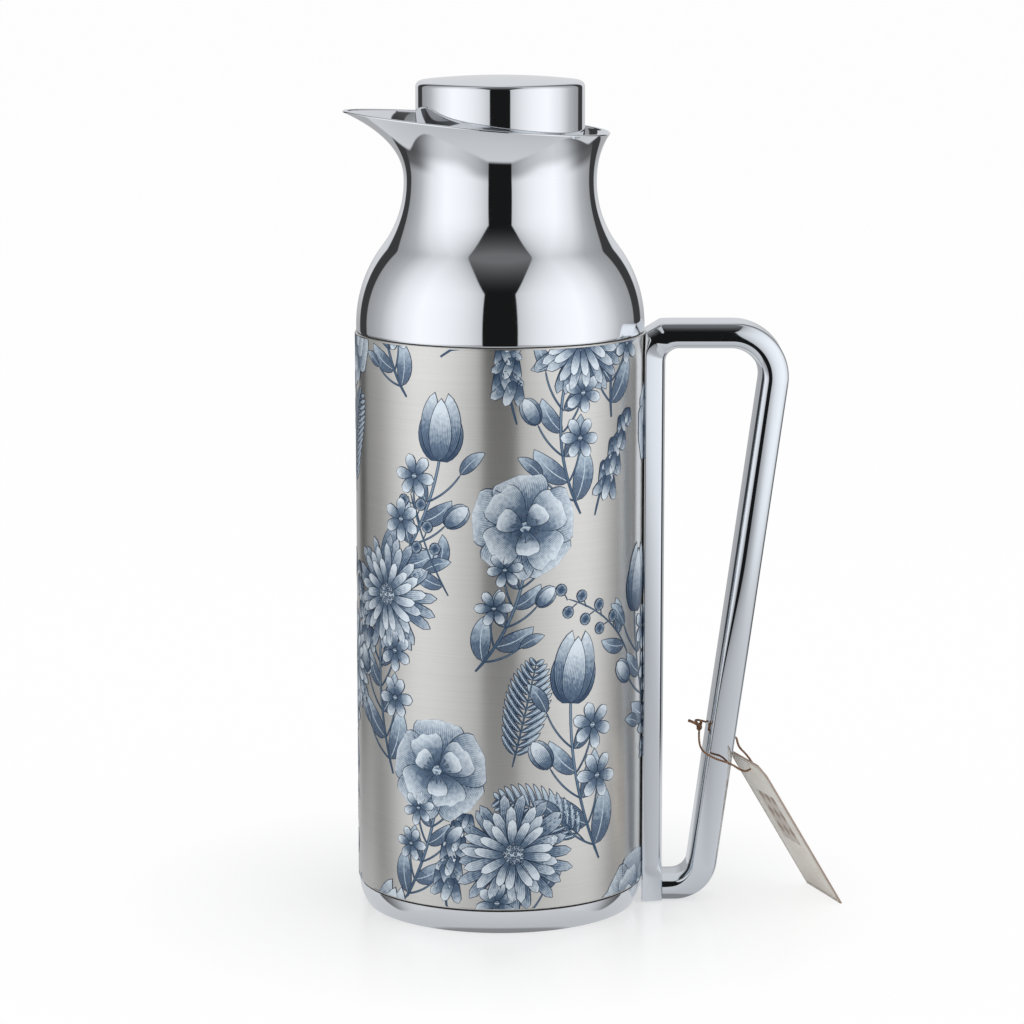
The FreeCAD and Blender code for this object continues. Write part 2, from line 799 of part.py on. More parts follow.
def stopper_pieces():
    seat_bore = nose_radius - s.valve_seat_width
    seat_top = nose_bottom + s.valve_seat_height
    flange_top_height = stopper_flange + s.stopper_flange_height
    stopper = turned_body(
        "stopper_body",
        [
            corner(seat_bore, nose_bottom),
            corner(nose_radius, nose_bottom),
            corner(nose_radius, stopper_flange),
            corner(stopper_radius, stopper_flange),
            corner(stopper_radius, flange_top_height),
            corner(stopper_wall_outer, flange_top_height),
            corner(stopper_wall_outer, rim_top),
            corner(stopper_wall_outer - s.stopper_rim_wall, rim_top),
            corner(stopper_wall_outer - s.stopper_rim_wall, deck_top),
            corner(s.guide_radius, deck_top),
            corner(s.guide_radius, guide_top),
            corner(guide_bore, guide_top),
            corner(guide_bore, seal_top),
            corner(s.stem_seal_radius, seal_top),
            corner(s.stem_seal_radius, guide_bottom),
            corner(s.guide_radius, guide_bottom),
            corner(s.guide_radius, windows_top),
            corner(stopper_wall_inner, windows_top),
            corner(stopper_wall_inner, stopper_flange + s.nose_wall + s.stopper_wall),
            corner(nose_bore, stopper_flange + s.nose_wall),
            corner(nose_bore, seat_top),
            corner(seat_bore, seat_top),
        ],
    )
    doc.recompute()
    lug = thread_sketch(stopper, "stopper_lug", stopper_radius - s.fit_gap, lug_tip, thread_middle)
    add_thread(stopper, lug)
    solid_before = stopper.Shape.Volume
    window = outline_sketch(
        stopper,
        "pour_window",
        "XZ_Plane",
        [
            corner(stopper_wall_inner - s.fit_gap, windows_bottom),
            corner(stopper_wall_outer + s.fit_gap, windows_bottom),
            corner(stopper_wall_outer + s.fit_gap, windows_top),
            corner(stopper_wall_inner - s.fit_gap, windows_top),
        ],
    )
    opening = turn(stopper, window, "PartDesign::Groove", s.window_angle)
    doc.recompute()
    repeat_round(stopper, opening, s.window_count)
    if stopper.Shape.Volume >= solid_before:
        raise RuntimeError("the pour windows cut nothing")
    piece(stopper, "stopper_body")

    gasket_inner = nose_radius + s.fit_gap
    ring("stopper_gasket", gasket_inner, gasket_inner + s.stopper_gasket_overhang + s.fit_gap,
         gasket_bottom, stopper_flange)
    ring("stem_seal", s.stem_radius + s.stem_seal_gap, s.stem_seal_radius,
         guide_bottom + s.seat_gap, seal_top)
    return_spring()


def helix_point(turns, radius, bottom, rise):
    angle = 2 * math.pi * turns
    return Vector(radius * math.cos(angle), radius * math.sin(angle), bottom + rise * turns)


def helix_way(turns, radius, rise):
    angle = 2 * math.pi * turns
    around = 2 * math.pi * radius
    return Vector(-around * math.sin(angle), around * math.cos(angle), rise).normalize()


def arc_between(start, knee, end):
    """The arc that leaves start towards the knee and reaches end from it, the two legs being equal."""
    middle = (start + end) / 2
    half = (end - start).Length / 2
    out = knee - middle
    quarter_turn = math.atan2(out.Length, half) / 2
    return Part.Arc(start, middle + out * (half * math.tan(quarter_turn) / out.Length), end)


def biarc(start, way_out, end, way_in):
    """Two tangent arcs from start to end that leave and arrive along the given ways."""
    gap = end - start
    both = way_out + way_in
    a = both.dot(both) - 4
    b = -2 * gap.dot(both)
    c = gap.dot(gap)
    leg = (-b - math.sqrt(b * b - 4 * a * c)) / (2 * a)
    first, second = start + way_out * leg, end - way_in * leg
    joint = (first + second) / 2
    return [arc_between(start, first, joint), arc_between(joint, second, end)]


def tube_along(curves, radius, start, way):
    """A round tube along a path of lines and arcs."""
    path = Part.Wire([c.toShape() for c in curves])
    section = Part.Wire([Part.Circle(start, way, radius).toShape()])
    tube = path.makePipeShell([section], True, False)
    expected = math.pi * radius**2 * path.Length
    if abs(tube.Volume - expected) > TUBE_VOLUME_SHARE * expected:
        raise RuntimeError("a tube does not have the volume of its section times its length")
    return tube


def return_spring():
    """Coil spring between the stopper's deck and the core of the cap."""
    radius = s.spring_radius.value
    wire = s.spring_wire.value
    turns = s.spring_turns.value
    bottom = deck_top.value + wire / 2 + s.seat_gap.value
    rise = (core_underside.value - deck_top.value - wire - 2 * s.seat_gap.value) / turns
    curves = []
    for quarter in range(round(4 * turns)):
        here, there = quarter / 4, (quarter + 1) / 4
        curves += biarc(
            helix_point(here, radius, bottom, rise),
            helix_way(here, radius, rise),
            helix_point(there, radius, bottom, rise),
            helix_way(there, radius, rise),
        )
    count = round(SPRING_POINTS * turns) + 1
    points = [helix_point(i / SPRING_POINTS, radius, bottom, rise) for i in range(count)]
    far_pairs = ((p, q) for i, p in enumerate(points) for q in points[i + SPRING_POINTS // 2:])
    least_gap = min(p.distanceToPoint(q) for p, q in far_pairs) - wire
    print(f"return spring: least gap to itself {least_gap:.2f} mm")
    spring = doc.addObject("Part::Feature", "return_spring")
    start = helix_point(0, radius, bottom, rise)
    spring.Shape = tube_along(curves, wire / 2, start, helix_way(0, radius, rise))
    spring.Placement = Placement()
    piece(spring, "return_spring")


def push_cap_pieces():
    cap = turned_body(
        "push_cap",
        [
            corner(cap_inner, cap_bottom),
            corner(s.cap_radius, cap_bottom),
            corner(s.cap_radius, cap_edge, arc=dome_radius(s.cap_radius)),
            corner(zero, cap_top),
            corner(zero, cap_top - s.cap_wall),
            corner(cap_inner, cap_edge - s.cap_wall),
        ],
    )
    doc.recompute()
    sharp = cap.Tip
    top_edge = [
        f"Edge{i}"
        for i, e in enumerate(sharp.Shape.Edges, start=1)
        if on_circle(e, s.cap_radius.value, cap_edge.value)
    ]
    round_edges(cap, sharp, top_edge, s.cap_edge_round)
    piece(cap, "push_cap")

    screw_hole = s.stem_screw_radius + s.screw_gap
    socket = s.stem_radius + s.running_gap
    turned_piece(
        "cap_core",
        [
            corner(screw_hole, stem_top),
            corner(socket, stem_top),
            corner(socket, boss_bottom),
            corner(s.cap_boss_radius, boss_bottom),
            corner(s.cap_boss_radius, core_underside),
            corner(core_inner, core_underside),
            corner(core_inner, cap_bottom + s.cap_core_skirt_lift),
            corner(core_outer, cap_bottom + s.cap_core_skirt_lift),
            corner(core_outer, core_top),
            corner(screw_hole, core_top),
        ],
    )
    turned_piece(
        "stem_screw",
        [
            corner(zero, stem_top - s.stem_screw_bite),
            corner(s.stem_screw_radius, stem_top - s.stem_screw_bite),
            corner(s.stem_screw_radius, core_top),
            corner(s.stem_screw_head_radius, core_top),
            corner(s.stem_screw_head_radius, core_top + s.stem_screw_head),
            corner(zero, core_top + s.stem_screw_head),
        ],
    )
    pilot = s.stem_screw_radius + s.running_gap
    pilot_bottom = stem_top - s.stem_screw_bite - s.screw_gap
    turned_piece(
        "valve_stem",
        [
            corner(zero, valve_disc_bottom),
            corner(s.stem_radius, valve_disc_bottom),
            corner(s.stem_radius, stem_top),
            corner(pilot, stem_top),
            corner(pilot, pilot_bottom),
            corner(zero, pilot_bottom),
        ],
    )
    ring("valve_disc", s.stem_radius + s.running_gap, s.valve_disc_radius, valve_disc_bottom, valve_disc_top)
    ring("valve_seal", s.valve_disc_radius - s.valve_seal_width, s.valve_disc_radius - s.fit_gap,
         valve_disc_top, valve_seal_top)


def dome_radius(half_width):
    """Radius of the shallow dome that rises by cap_dome over the given half width."""
    return (half_width * half_width + s.cap_dome * s.cap_dome) / (s.cap_dome * 2)


def on_circle(edge, radius, height):
    if edge.Degenerated or not isinstance(edge.Curve, Part.Circle):
        return False
    curve = edge.Curve
    return abs(curve.Radius - radius) < SAME_PLACE and abs(curve.Center.z - height) < SAME_PLACE


def handle_screw_holes(name, gap, length):
    """Holes along X for the two screws that hold the handle from inside the sleeve."""
    start = sleeve_inner - s.backing_plate - s.fit_gap
    holes = [
        rod(f"{name}_screw_hole_{i}", s.handle_screw_radius + gap, length, start, zero, height, along_x)
        for i, height in enumerate(screw_heights)
    ]
    return group(f"{name}_screw_holes", holes)


def side_pad(name, corners):
    """A bar of the handle: its side outline given the handle's depth, evenly about the XZ plane."""
    body = doc.addObject("PartDesign::Body", name)
    sketch = outline_sketch(body, name + "_outline", "XZ_Plane", corners)
    pad = body.newObject("PartDesign::Pad", name + "_pad")
    pad.Profile = sketch
    pad.Midplane = True
    pad.setExpression("Length", s.handle_depth.text)
    body.Tip = pad
    doc.recompute()
    return body


def round_side_edges(body, sharp_ends, radius):
    """Rounds the long edges of a bar, but not those of the end faces where two bars meet."""
    side = half_depth.value

    def is_long(edge):
        points = [v.Point for v in edge.Vertexes]
        if any(abs(abs(p.y) - side) > SAME_PLACE for p in points):
            return False
        if abs(points[0].y - points[-1].y) > SAME_PLACE:
            return False
        return not any(
            all(abs(p.x - x) < SAME_PLACE and low - SAME_PLACE < p.z < high + SAME_PLACE for p in points)
            for x, low, high in sharp_ends
        )

    sharp = body.Tip
    names = [f"Edge{i}" for i, e in enumerate(sharp.Shape.Edges, start=1) if is_long(e)]
    round_edges(body, sharp, names, radius)


def round_edges(body, sharp, names, radius):
    rounding = body.newObject("PartDesign::Fillet", body.Name + "_rounding")
    rounding.Base = (sharp, names)
    rounding.setExpression("Radius", radius.text)
    body.Tip = rounding
    doc.recompute()


def handle_pieces():
    top_reach = s.sleeve_radius + s.grip_top_reach
    bottom_reach = s.sleeve_radius + s.grip_bottom_reach
    lean = (top_reach - bottom_reach) / (handle_top - s.handle_foot)
    across = s.grip_thickness * root(lean * lean + 1)
    inner_bottom = bottom_reach + lean * s.bottom_bar - across
    inner_top = top_reach - lean * s.top_bar - across

    rail = side_pad(
        "rail_blank",
        [
            corner(rail_back, s.handle_foot),
            corner(rail_face, s.handle_foot),
            corner(rail_face, top_bar_bottom, s.rail_inner_round),
            corner(stub_end, top_bar_bottom),
            corner(stub_end, handle_top),
            corner(rail_back + s.rail_chamfer, handle_top),
            corner(rail_back, handle_top - s.rail_chamfer_drop),
        ],
    )
    round_side_edges(rail, [(stub_end.value, top_bar_bottom.value, handle_top.value)], s.rail_edge)
    grip = side_pad(
        "grip_blank",
        [
            corner(stub_end, handle_top),
            corner(stub_end, top_bar_bottom),
            corner(inner_top, top_bar_bottom, s.grip_inner_top_round),
            corner(inner_bottom, bottom_bar_top, s.grip_inner_bottom_round),
            corner(rail_face, bottom_bar_top),
            corner(rail_face, s.handle_foot),
            corner(bottom_reach, s.handle_foot, s.grip_bottom_round),
            corner(top_reach, handle_top, s.grip_top_round),
        ],
    )
    meeting_faces = [
        (stub_end.value, top_bar_bottom.value, handle_top.value),
        (rail_face.value, s.handle_foot.value, bottom_bar_top.value),
    ]
    round_side_edges(grip, meeting_faces, s.grip_edge)

    dowels, holes = [], []
    dowel_length = s.dowel_bite * 2
    for i, (face, height) in enumerate(
        ((stub_end, handle_top - s.top_bar / 2), (rail_face, s.handle_foot + s.bottom_bar / 2))
    ):
        dowels.append(rod(f"grip_dowel_{i}", s.dowel_radius, dowel_length, face - s.dowel_bite, zero, height,
                          along_x))
        hole_start = face - s.dowel_bite - s.screw_gap
        holes.append(rod(f"dowel_hole_{i}", s.dowel_radius + s.running_gap, dowel_length + s.screw_gap * 2,
                         hole_start, zero, height, along_x))
    dowel_holes = group("dowel_holes", holes)
    piece(cut("handle_grip", grip, dowel_holes), "handle_grip")
    pilot_length = s.backing_plate + s.fit_gap + s.sleeve_wall + s.strip_thickness + s.handle_screw_bite
    pilots = handle_screw_holes("rail", s.running_gap, pilot_length + s.screw_gap)
    saddle = rod("rail_saddle", saddle_radius, handle_top, zero, zero, zero)
    bored_rail = cut("rail_with_screw_holes", cut("rail_with_dowel_holes", rail, dowel_holes), pilots)
    piece(cut("handle_rail", bored_rail, saddle), "handle_rail")
    piece(group("grip_dowels", dowels), "grip_dowels")

    strip_bottom = sleeve_bottom + s.strip_margin
    strip_height = s.sleeve_length - s.strip_margin * 2
    strip_box = block("strip_blank", s.strip_thickness + s.sleeve_hem, s.strip_depth, strip_height,
                      s.sleeve_radius - s.sleeve_hem, -s.strip_depth / 2, strip_bottom)
    space_radius = s.sleeve_radius + s.running_gap
    sleeve_space = rod("sleeve_space", space_radius, strip_height, zero, zero, strip_bottom)
    under_rail = doc.addObject("Part::Common", "strip_under_rail")
    under_rail.Base = strip_box
    under_rail.Tool = rod("strip_outside", strip_face, strip_height, zero, zero, strip_bottom)
    curved_strip = cut("strip_saddle", under_rail, sleeve_space)
    screw_holes = handle_screw_holes("strip", s.screw_gap, pilot_length)
    piece(cut("handle_strip", curved_strip, screw_holes), "handle_strip")

    plates, screws = [], []
    plate_back = sleeve_inner - s.backing_plate - s.fit_gap
    for i, height in enumerate(screw_heights):
        box = block(f"backing_box_{i}", s.backing_plate, s.backing_plate_width, s.backing_plate_height,
                    plate_back, -s.backing_plate_width / 2, height - s.backing_plate_height / 2)
        inside = rod(f"sleeve_inside_{i}", sleeve_inner - s.fit_gap, s.backing_plate_height, zero, zero,
                     height - s.backing_plate_height / 2)
        curved = doc.addObject("Part::Common", f"backing_curved_{i}")
        curved.Base = box
        curved.Tool = inside
        hole = rod(f"backing_hole_{i}", s.handle_screw_radius + s.screw_gap, s.backing_plate + s.fit_gap,
                   plate_back, zero, height, along_x)
        plates.append(cut(f"backing_plate_{i}", curved, hole))
        head = rod(f"handle_screw_head_{i}", s.handle_screw_head_radius, s.handle_screw_head,
                   plate_back - s.handle_screw_head, zero, height, along_x)
        shank = rod(f"handle_screw_shank_{i}", s.handle_screw_radius, pilot_length, plate_back, zero, height,
                    along_x)
        screws.append(group(f"handle_screw_{i}", [head, shank], "Part::MultiFuse"))
    piece(group("handle_backing_plates", plates), "handle_backing_plates")
    piece(group("handle_screws", screws), "handle_screws")


def tag_pieces():
    tag = doc.addObject("PartDesign::Body", "swing_tag")
    card = outline_sketch(
        tag,
        "tag_outline",
        "XY_Plane",
        [
            corner(zero, zero),
            corner(s.tag_width, zero),
            corner(s.tag_width, s.tag_length - s.tag_clip),
            corner(s.tag_width - s.tag_clip, s.tag_length),
            corner(s.tag_clip, s.tag_length),
            corner(zero, s.tag_length - s.tag_clip),
        ],
    )
    pad = tag.newObject("PartDesign::Pad", "tag_pad")
    pad.Profile = card
    pad.setExpression("Length", s.tag_thickness.text)
    tag.Tip = pad
    hole = tag.newObject("Sketcher::SketchObject", "tag_hole_outline")
    hole.AttachmentSupport = [(origin_plane(tag, "XY_Plane"), "")]
    hole.MapMode = "FlatFace"
    centre = Vector(s.tag_width.value / 2, s.tag_length.value - s.tag_hole_inset.value, 0)
    hole.addGeometry(Part.Circle(centre, Vector(0, 0, 1), s.tag_hole_radius.value), False)
    for kind, size in (
        ("DistanceX", s.tag_width / 2),
        ("DistanceY", s.tag_length - s.tag_hole_inset),
    ):
        index = hole.addConstraint(Sketcher.Constraint(kind, -1, 1, 0, 3, size.value))
        hole.setExpression(f"Constraints[{index}]", size.text)
    index = hole.addConstraint(Sketcher.Constraint("Radius", 0, s.tag_hole_radius.value))
    hole.setExpression(f"Constraints[{index}]", s.tag_hole_radius.text)
    doc.recompute()
    card_volume = tag.Shape.Volume
    pocket = tag.newObject("PartDesign::Pocket", "tag_hole")
    pocket.Profile = hole
    pocket.Type = "ThroughAll"
    pocket.Midplane = True
    tag.Tip = pocket
    doc.recompute()
    if tag.Shape.Volume >= card_volume:
        raise RuntimeError("the tag's hole cuts nothing")
    along = Vector(TAG_ALONG).normalize()
    facing = along.cross(TAG_UP).normalize()
    up = facing.cross(along)
    turned = Matrix(along.x, up.x, facing.x, 0, along.y, up.y, facing.y, 0, along.z, up.z, facing.z, 0)
    tag.Placement = Placement(TAG_CORNER, Placement(turned).Rotation)
    piece(tag, "swing_tag")

    string = doc.addObject("Part::Feature", "tag_string")
    string.Shape = string_tube()
    string.Placement = Placement()
    piece(string, "tag_string")

    middle = (STRING_ROUTE[0] + STRING_ROUTE[-1]) / 2
    knot = doc.addObject("Part::Feature", "tag_knot")
    lump = Part.makeSphere(s.knot_radius.value, middle)
    tail = Part.makeCylinder(s.string_radius.value, s.knot_tail.value, middle, KNOT_TAIL_WAY)
    stub = Part.makeCylinder(s.string_radius.value, s.knot_stub.value, middle, KNOT_STUB_WAY)
    knot.Shape = lump.fuse([tail, stub])
    knot.Placement = Placement()
    piece(knot, "tag_knot")


def string_tube():
    """The string as straight runs joined by tangent arcs, each as large as its two runs allow."""
    curves, radii = [], []
    here = STRING_ROUTE[0]
    for before, point, after in zip(STRING_ROUTE, STRING_ROUTE[1:], STRING_ROUTE[2:]):
        back, on = before - point, after - point
        leg = STRING_ARC_SHARE * min(back.Length, on.Length)
        start = point + Vector(back).normalize() * leg
        end = point + Vector(on).normalize() * leg
        radii.append(leg * math.tan(back.getAngle(on) / 2))
        curves.append(Part.LineSegment(here, start))
        curves.append(arc_between(start, point, end))
        here = end
    curves.append(Part.LineSegment(here, STRING_ROUTE[-1]))
    print("string radii, mm:", " ".join(f"{r:.1f}" for r in radii))
    way = STRING_ROUTE[1] - STRING_ROUTE[0]
    tube = tube_along(curves, s.string_radius.value, STRING_ROUTE[0], way)
    print(f"string length {sum(c.toShape().Length for c in curves):.1f} mm")
    return tube


def check_and_write():
    doc.recompute()
    failed = [o.Name for o in doc.Objects if any(word in o.State for word in ("Invalid", "Error"))]
    if failed:
        raise RuntimeError("failed objects: " + ", ".join(failed))
    for obj in pieces:
        if obj.Shape.isNull() or not obj.Shape.isValid() or not obj.Shape.Solids:
            raise RuntimeError(f"{obj.Label} has no valid shape")
    os.makedirs("parts", exist_ok=True)
    for obj in pieces:
        obj.Shape.exportStep(f"parts/{obj.Label}.step")
        print(f"{obj.Label}: {len(obj.Shape.Solids)} solid(s), {obj.Shape.Volume / 1000:.2f} cm3")


base_pieces()
liner_pieces()
shoulder_piece()
sleeve_pieces()
collar_piece()
stopper_pieces()
push_cap_pieces()
handle_pieces()
tag_pieces()
check_and_write()
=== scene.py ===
import math
from functools import partial

import bmesh
import bpy
import numpy as np
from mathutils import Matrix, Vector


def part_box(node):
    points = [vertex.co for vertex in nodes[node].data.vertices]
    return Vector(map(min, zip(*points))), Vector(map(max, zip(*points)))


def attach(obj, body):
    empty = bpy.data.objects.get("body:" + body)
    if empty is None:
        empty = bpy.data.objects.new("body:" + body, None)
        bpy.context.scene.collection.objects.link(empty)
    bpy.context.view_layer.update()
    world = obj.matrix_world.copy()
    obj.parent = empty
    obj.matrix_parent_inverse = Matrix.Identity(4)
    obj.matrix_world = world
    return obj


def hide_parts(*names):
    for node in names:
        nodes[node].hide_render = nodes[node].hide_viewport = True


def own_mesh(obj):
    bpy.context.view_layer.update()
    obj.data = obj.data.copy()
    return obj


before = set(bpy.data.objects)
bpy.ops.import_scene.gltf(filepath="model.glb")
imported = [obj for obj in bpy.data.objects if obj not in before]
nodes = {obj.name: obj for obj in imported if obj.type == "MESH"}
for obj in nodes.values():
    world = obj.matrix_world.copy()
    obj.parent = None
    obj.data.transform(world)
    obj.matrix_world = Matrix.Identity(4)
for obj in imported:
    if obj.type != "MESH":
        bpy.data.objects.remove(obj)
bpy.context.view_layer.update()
mm = 0.001  # shapes are worked out in millimetres and put into meshes in metres
print("frame loaded:", len(nodes), "nodes")


def linear(hexColour):  # sRGB hex to linear RGBA
    c = np.array([int(hexColour[i:i + 2], 16) for i in (1, 3, 5)]) / 255
    low, high = c / 12.92, ((c + 0.055) / 1.055) ** 2.4
    return (*np.where(c <= 0.04045, low, high).tolist(), 1.0)


def every(size):  # scale of a pattern that comes again every so many millimetres
    return 1 / (size * mm)


standing = {  # nodes that a new tree holds already
    "BsdfPrincipled": "Principled BSDF", "OutputMaterial": "Material Output",
    "Background": "Background", "OutputWorld": "World Output",
}


def addNode(owner, kind, inputs=(), output=0, **settings):
    # one node, or the one that stands there already, with its settings, values and links; gives one output
    tree = owner.node_tree
    node = tree.nodes[standing[kind]] if kind in standing else tree.nodes.new("ShaderNode" + kind)
    for key, value in settings.items():
        setattr(node, key, value)
    for socket, value in inputs.items() if isinstance(inputs, dict) else enumerate(inputs):
        if isinstance(value, bpy.types.NodeSocket):
            tree.links.new(value, node.inputs[socket])
        else:
            node.inputs[socket].default_value = value
    return node.outputs[output] if node.outputs else None


def newMaterial(name):  # gives the material, what adds its nodes, and its Object coordinates
    material = bpy.data.materials.new(name)
    material.use_nodes = True
    node = partial(addNode, material)
    return material, node, node("TexCoord", output="Object")


# Chromed ABS: moulded, copper and nickel under bright chrome. A cool mirror with the faint waviness of the
# moulding, about 9 mm from crest to crest, and a hint of haze from wiping.
def chromePlate(name, baseHex, haze):
    material, node, place = newMaterial(name)
    wiping = node("TexNoise", {"Vector": place, "Scale": every(16.67)})
    waves = node("TexNoise", {"Vector": place, "Scale": every(9.09), "Detail": 1})
    node("BsdfPrincipled", {
        "Base Color": linear(baseHex), "Metallic": 1.0,
        "Roughness": node("MapRange", [wiping, 0.3, 0.7, haze, haze + 0.03]),
        "Normal": node("Bump", {"Height": waves, "Strength": 0.12, "Distance": 0.02 * mm}),
    })
    return material


# Stainless steel, brushed round the sleeve with scratches about 0.2 mm apart. They spread a reflection far up
# and down but little sideways, so it shows upright bands with soft edges under a fine level grain.
def brushedSteel():
    material, node, place = newMaterial("brushedStainlessSteel")
    drawn = node("Mapping", {"Vector": place, "Scale": (every(83.3), every(83.3), every(0.2))})
    fine = node("TexNoise", {"Vector": drawn, "Scale": 1, "Detail": 3})
    share = node("MapRange", [fine, 0.3, 0.7])
    tone = node("Mix", {0: share, 6: linear("#DDDBD7"), 7: linear("#E4E2DE")}, 2, data_type="RGBA")
    node("BsdfPrincipled", {
        "Base Color": tone, "Metallic": 0.94, "Anisotropic": 0.9,
        "Roughness": node("MapRange", [fine, 0.3, 0.7, 0.315, 0.33]),
        "Tangent": node("Tangent", direction_type="UV_MAP", uv_map="UVMap"),
    })
    return material


# Moulded polypropylene: spark-eroded mould texture with about 0.8 mm grit, a soft broad shine.
def mouldedPlastic(name, baseHex, roughness):
    material, node, place = newMaterial(name)
    grit = node("TexNoise", {"Vector": place, "Scale": every(0.8)})
    patches = node("TexNoise", {"Vector": place, "Scale": every(11.11)})
    node("BsdfPrincipled", {
        "Base Color": linear(baseHex),
        "Roughness": node("MapRange", [patches, 0.3, 0.7, roughness - 0.06, roughness + 0.08]),
        "Normal": node("Bump", {"Height": grit, "Strength": 0.35, "Distance": 0.05 * mm}),
    })
    return material


# Moulded rubber and silicone: dull, with a dusty bloom in patches of some 10 mm.
def mouldedRubber(name, baseHex, bloomHex, roughness):
    material, node, place = newMaterial(name)
    dust = node("TexNoise", {"Vector": place, "Scale": every(10), "Detail": 4})
    share = node("MapRange", [dust, 0.3, 0.7, 0.0, 0.6])
    skin = node("TexNoise", {"Vector": place, "Scale": every(1.111)})
    tone = node("Mix", {0: share, 6: linear(baseHex), 7: linear(bloomHex)}, 2, data_type="RGBA")
    node("BsdfPrincipled", {
        "Base Color": tone, "Roughness": roughness,
        "Normal": node("Bump", {"Height": skin, "Strength": 0.3, "Distance": 0.03 * mm}),
    })
    return material


# Zinc-plated steel: bright plating with a grain of about 1 mm and a slightly blue tone.
def zincPlate():
    material, node, place = newMaterial("zincPlatedSteel")
    grain = node("TexNoise", {"Vector": place, "Scale": every(1), "Detail": 3})
    share = node("MapRange", [grain, 0.3, 0.7])
    tone = node("Mix", {0: share, 6: linear("#A3A8B0"), 7: linear("#C9CDD2")}, 2, data_type="RGBA")
    node("BsdfPrincipled", {
        "Base Color": tone, "Metallic": 1.0, "Roughness": node("MapRange", [grain, 0.3, 0.7, 0.22, 0.38]),
    })
    return material


# Silvered blown glass: a mirror behind glass, with the slow waves that blowing leaves, about 25 mm long.
def silveredGlass():
    material, node, place = newMaterial("silveredBlownGlass")
    waves = node("TexNoise", {"Vector": place, "Scale": every(25), "Detail": 1})
    node("BsdfPrincipled", {
        "Base Color": linear("#D9D6CE"), "Metallic": 1.0, "Roughness": 0.04, "Coat Weight": 1.0,
        "Normal": node("Bump", {"Height": waves, "Strength": 0.2, "Distance": 0.25 * mm}),
    })
    return material


chrome = chromePlate("chromedAbs", "#EDEFF2", 0.02)
chromeHandle = chromePlate("chromedAbsHandle", "#E4E8ED", 0.025)
steel = brushedSteel()
blackPlastic = mouldedPlastic("mouldedBlackPolypropylene", "#1A1A1C", 0.48)
greyPlastic = mouldedPlastic("mouldedGreyPolypropylene", "#3C3D40", 0.45)
rubber = mouldedRubber("mouldedBlackRubber", "#161617", "#2A2A2B", 0.7)
silicone = mouldedRubber("mouldedSilicone", "#C9C8C3", "#DCDBD7", 0.42)
zinc = zincPlate()
glass = silveredGlass()
print("metals, plastics and rubbers made")

nodeFinish = {
    "liner_inner_bottle": glass, "liner_outer_bottle": glass, "liner_mouth_gasket": silicone,
    "liner_cushion": rubber, "liner_screw_cap": greyPlastic, "base_plate": blackPlastic,
    "neck_collar": greyPlastic, "stopper_body": greyPlastic, "cap_core": blackPlastic,
    "valve_stem": greyPlastic, "valve_disc": greyPlastic, "valve_seal": silicone, "stem_seal": silicone,
    # the seam gaskets are black rubber so that the seams show a dark line: painted shade standing in for the
    # shadow in the seam gaps
    "stopper_gasket": silicone, "upper_seam_gasket": rubber, "lower_seam_gasket": rubber,
    "handle_strip": blackPlastic, "base_screws": zinc, "handle_screws": zinc, "stem_screw": zinc,
    "handle_backing_plates": zinc, "grip_dowels": zinc,
}
for nodeName, finish in nodeFinish.items():
    nodes[nodeName].data.materials.clear()
    nodes[nodeName].data.materials.append(finish)


def unit(vectors):  # each vector at a length of one
    return vectors / np.linalg.norm(vectors, axis=-1, keepdims=True)


def joinGrids(grids):
    # several grids of points, each rows by columns, as one list of points and one of quads between neighbours
    points, faces, start = [], [], 0
    for grid in grids:
        rows, columns = grid.shape[:2]
        a = start + np.arange(rows - 1)[:, None] * columns + np.arange(columns - 1)[None, :]
        faces.append(np.stack([a, a + 1, a + 1 + columns, a + columns], -1).reshape(-1, 4))
        points.append(grid.reshape(-1, grid.shape[2]))
        start += rows * columns
    return np.concatenate(points), np.concatenate(faces)


def newObject(name, data):
    thing = bpy.data.objects.new(name, data)
    bpy.context.scene.collection.objects.link(thing)
    return thing


def newPiece(name, grids, material, body, replaced=(), uvs=None, values=None, sharp=35.0, weld=0.0005):
    # grids welded into one mesh, with values and UVs on its points, on its body in the place of its nodes
    points, faces = joinGrids(grids)
    mesh = bpy.data.meshes.new(name)
    mesh.from_pydata((points * mm).tolist(), [], faces.tolist())
    for label, numbers in (values or {}).items():
        flat = np.concatenate([n.ravel() for n in numbers]).astype(np.float32)
        mesh.attributes.new(label, "FLOAT", "POINT").data.foreach_set("value", flat)
    if uvs is not None:
        flat = np.concatenate([u.reshape(-1, 2) for u in uvs])[faces.ravel()]
        mesh.uv_layers.new(name="UVMap").data.foreach_set("uv", flat.astype(np.float32).ravel())
    work = bmesh.new()
    work.from_mesh(mesh)
    bmesh.ops.remove_doubles(work, verts=work.verts, dist=weld * mm)
    bmesh.ops.recalc_face_normals(work, faces=work.faces)
    work.to_mesh(mesh)
    work.free()
    mesh.shade_smooth()
    mesh.set_sharp_from_angle(angle=math.radians(sharp))
    mesh.materials.append(material)
    piece = newObject(name, mesh)
    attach(piece, body)
    if replaced:
        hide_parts(*replaced)
    print(f"{name}: {len(mesh.vertices)} points, {len(mesh.polygons)} faces")
    return piece


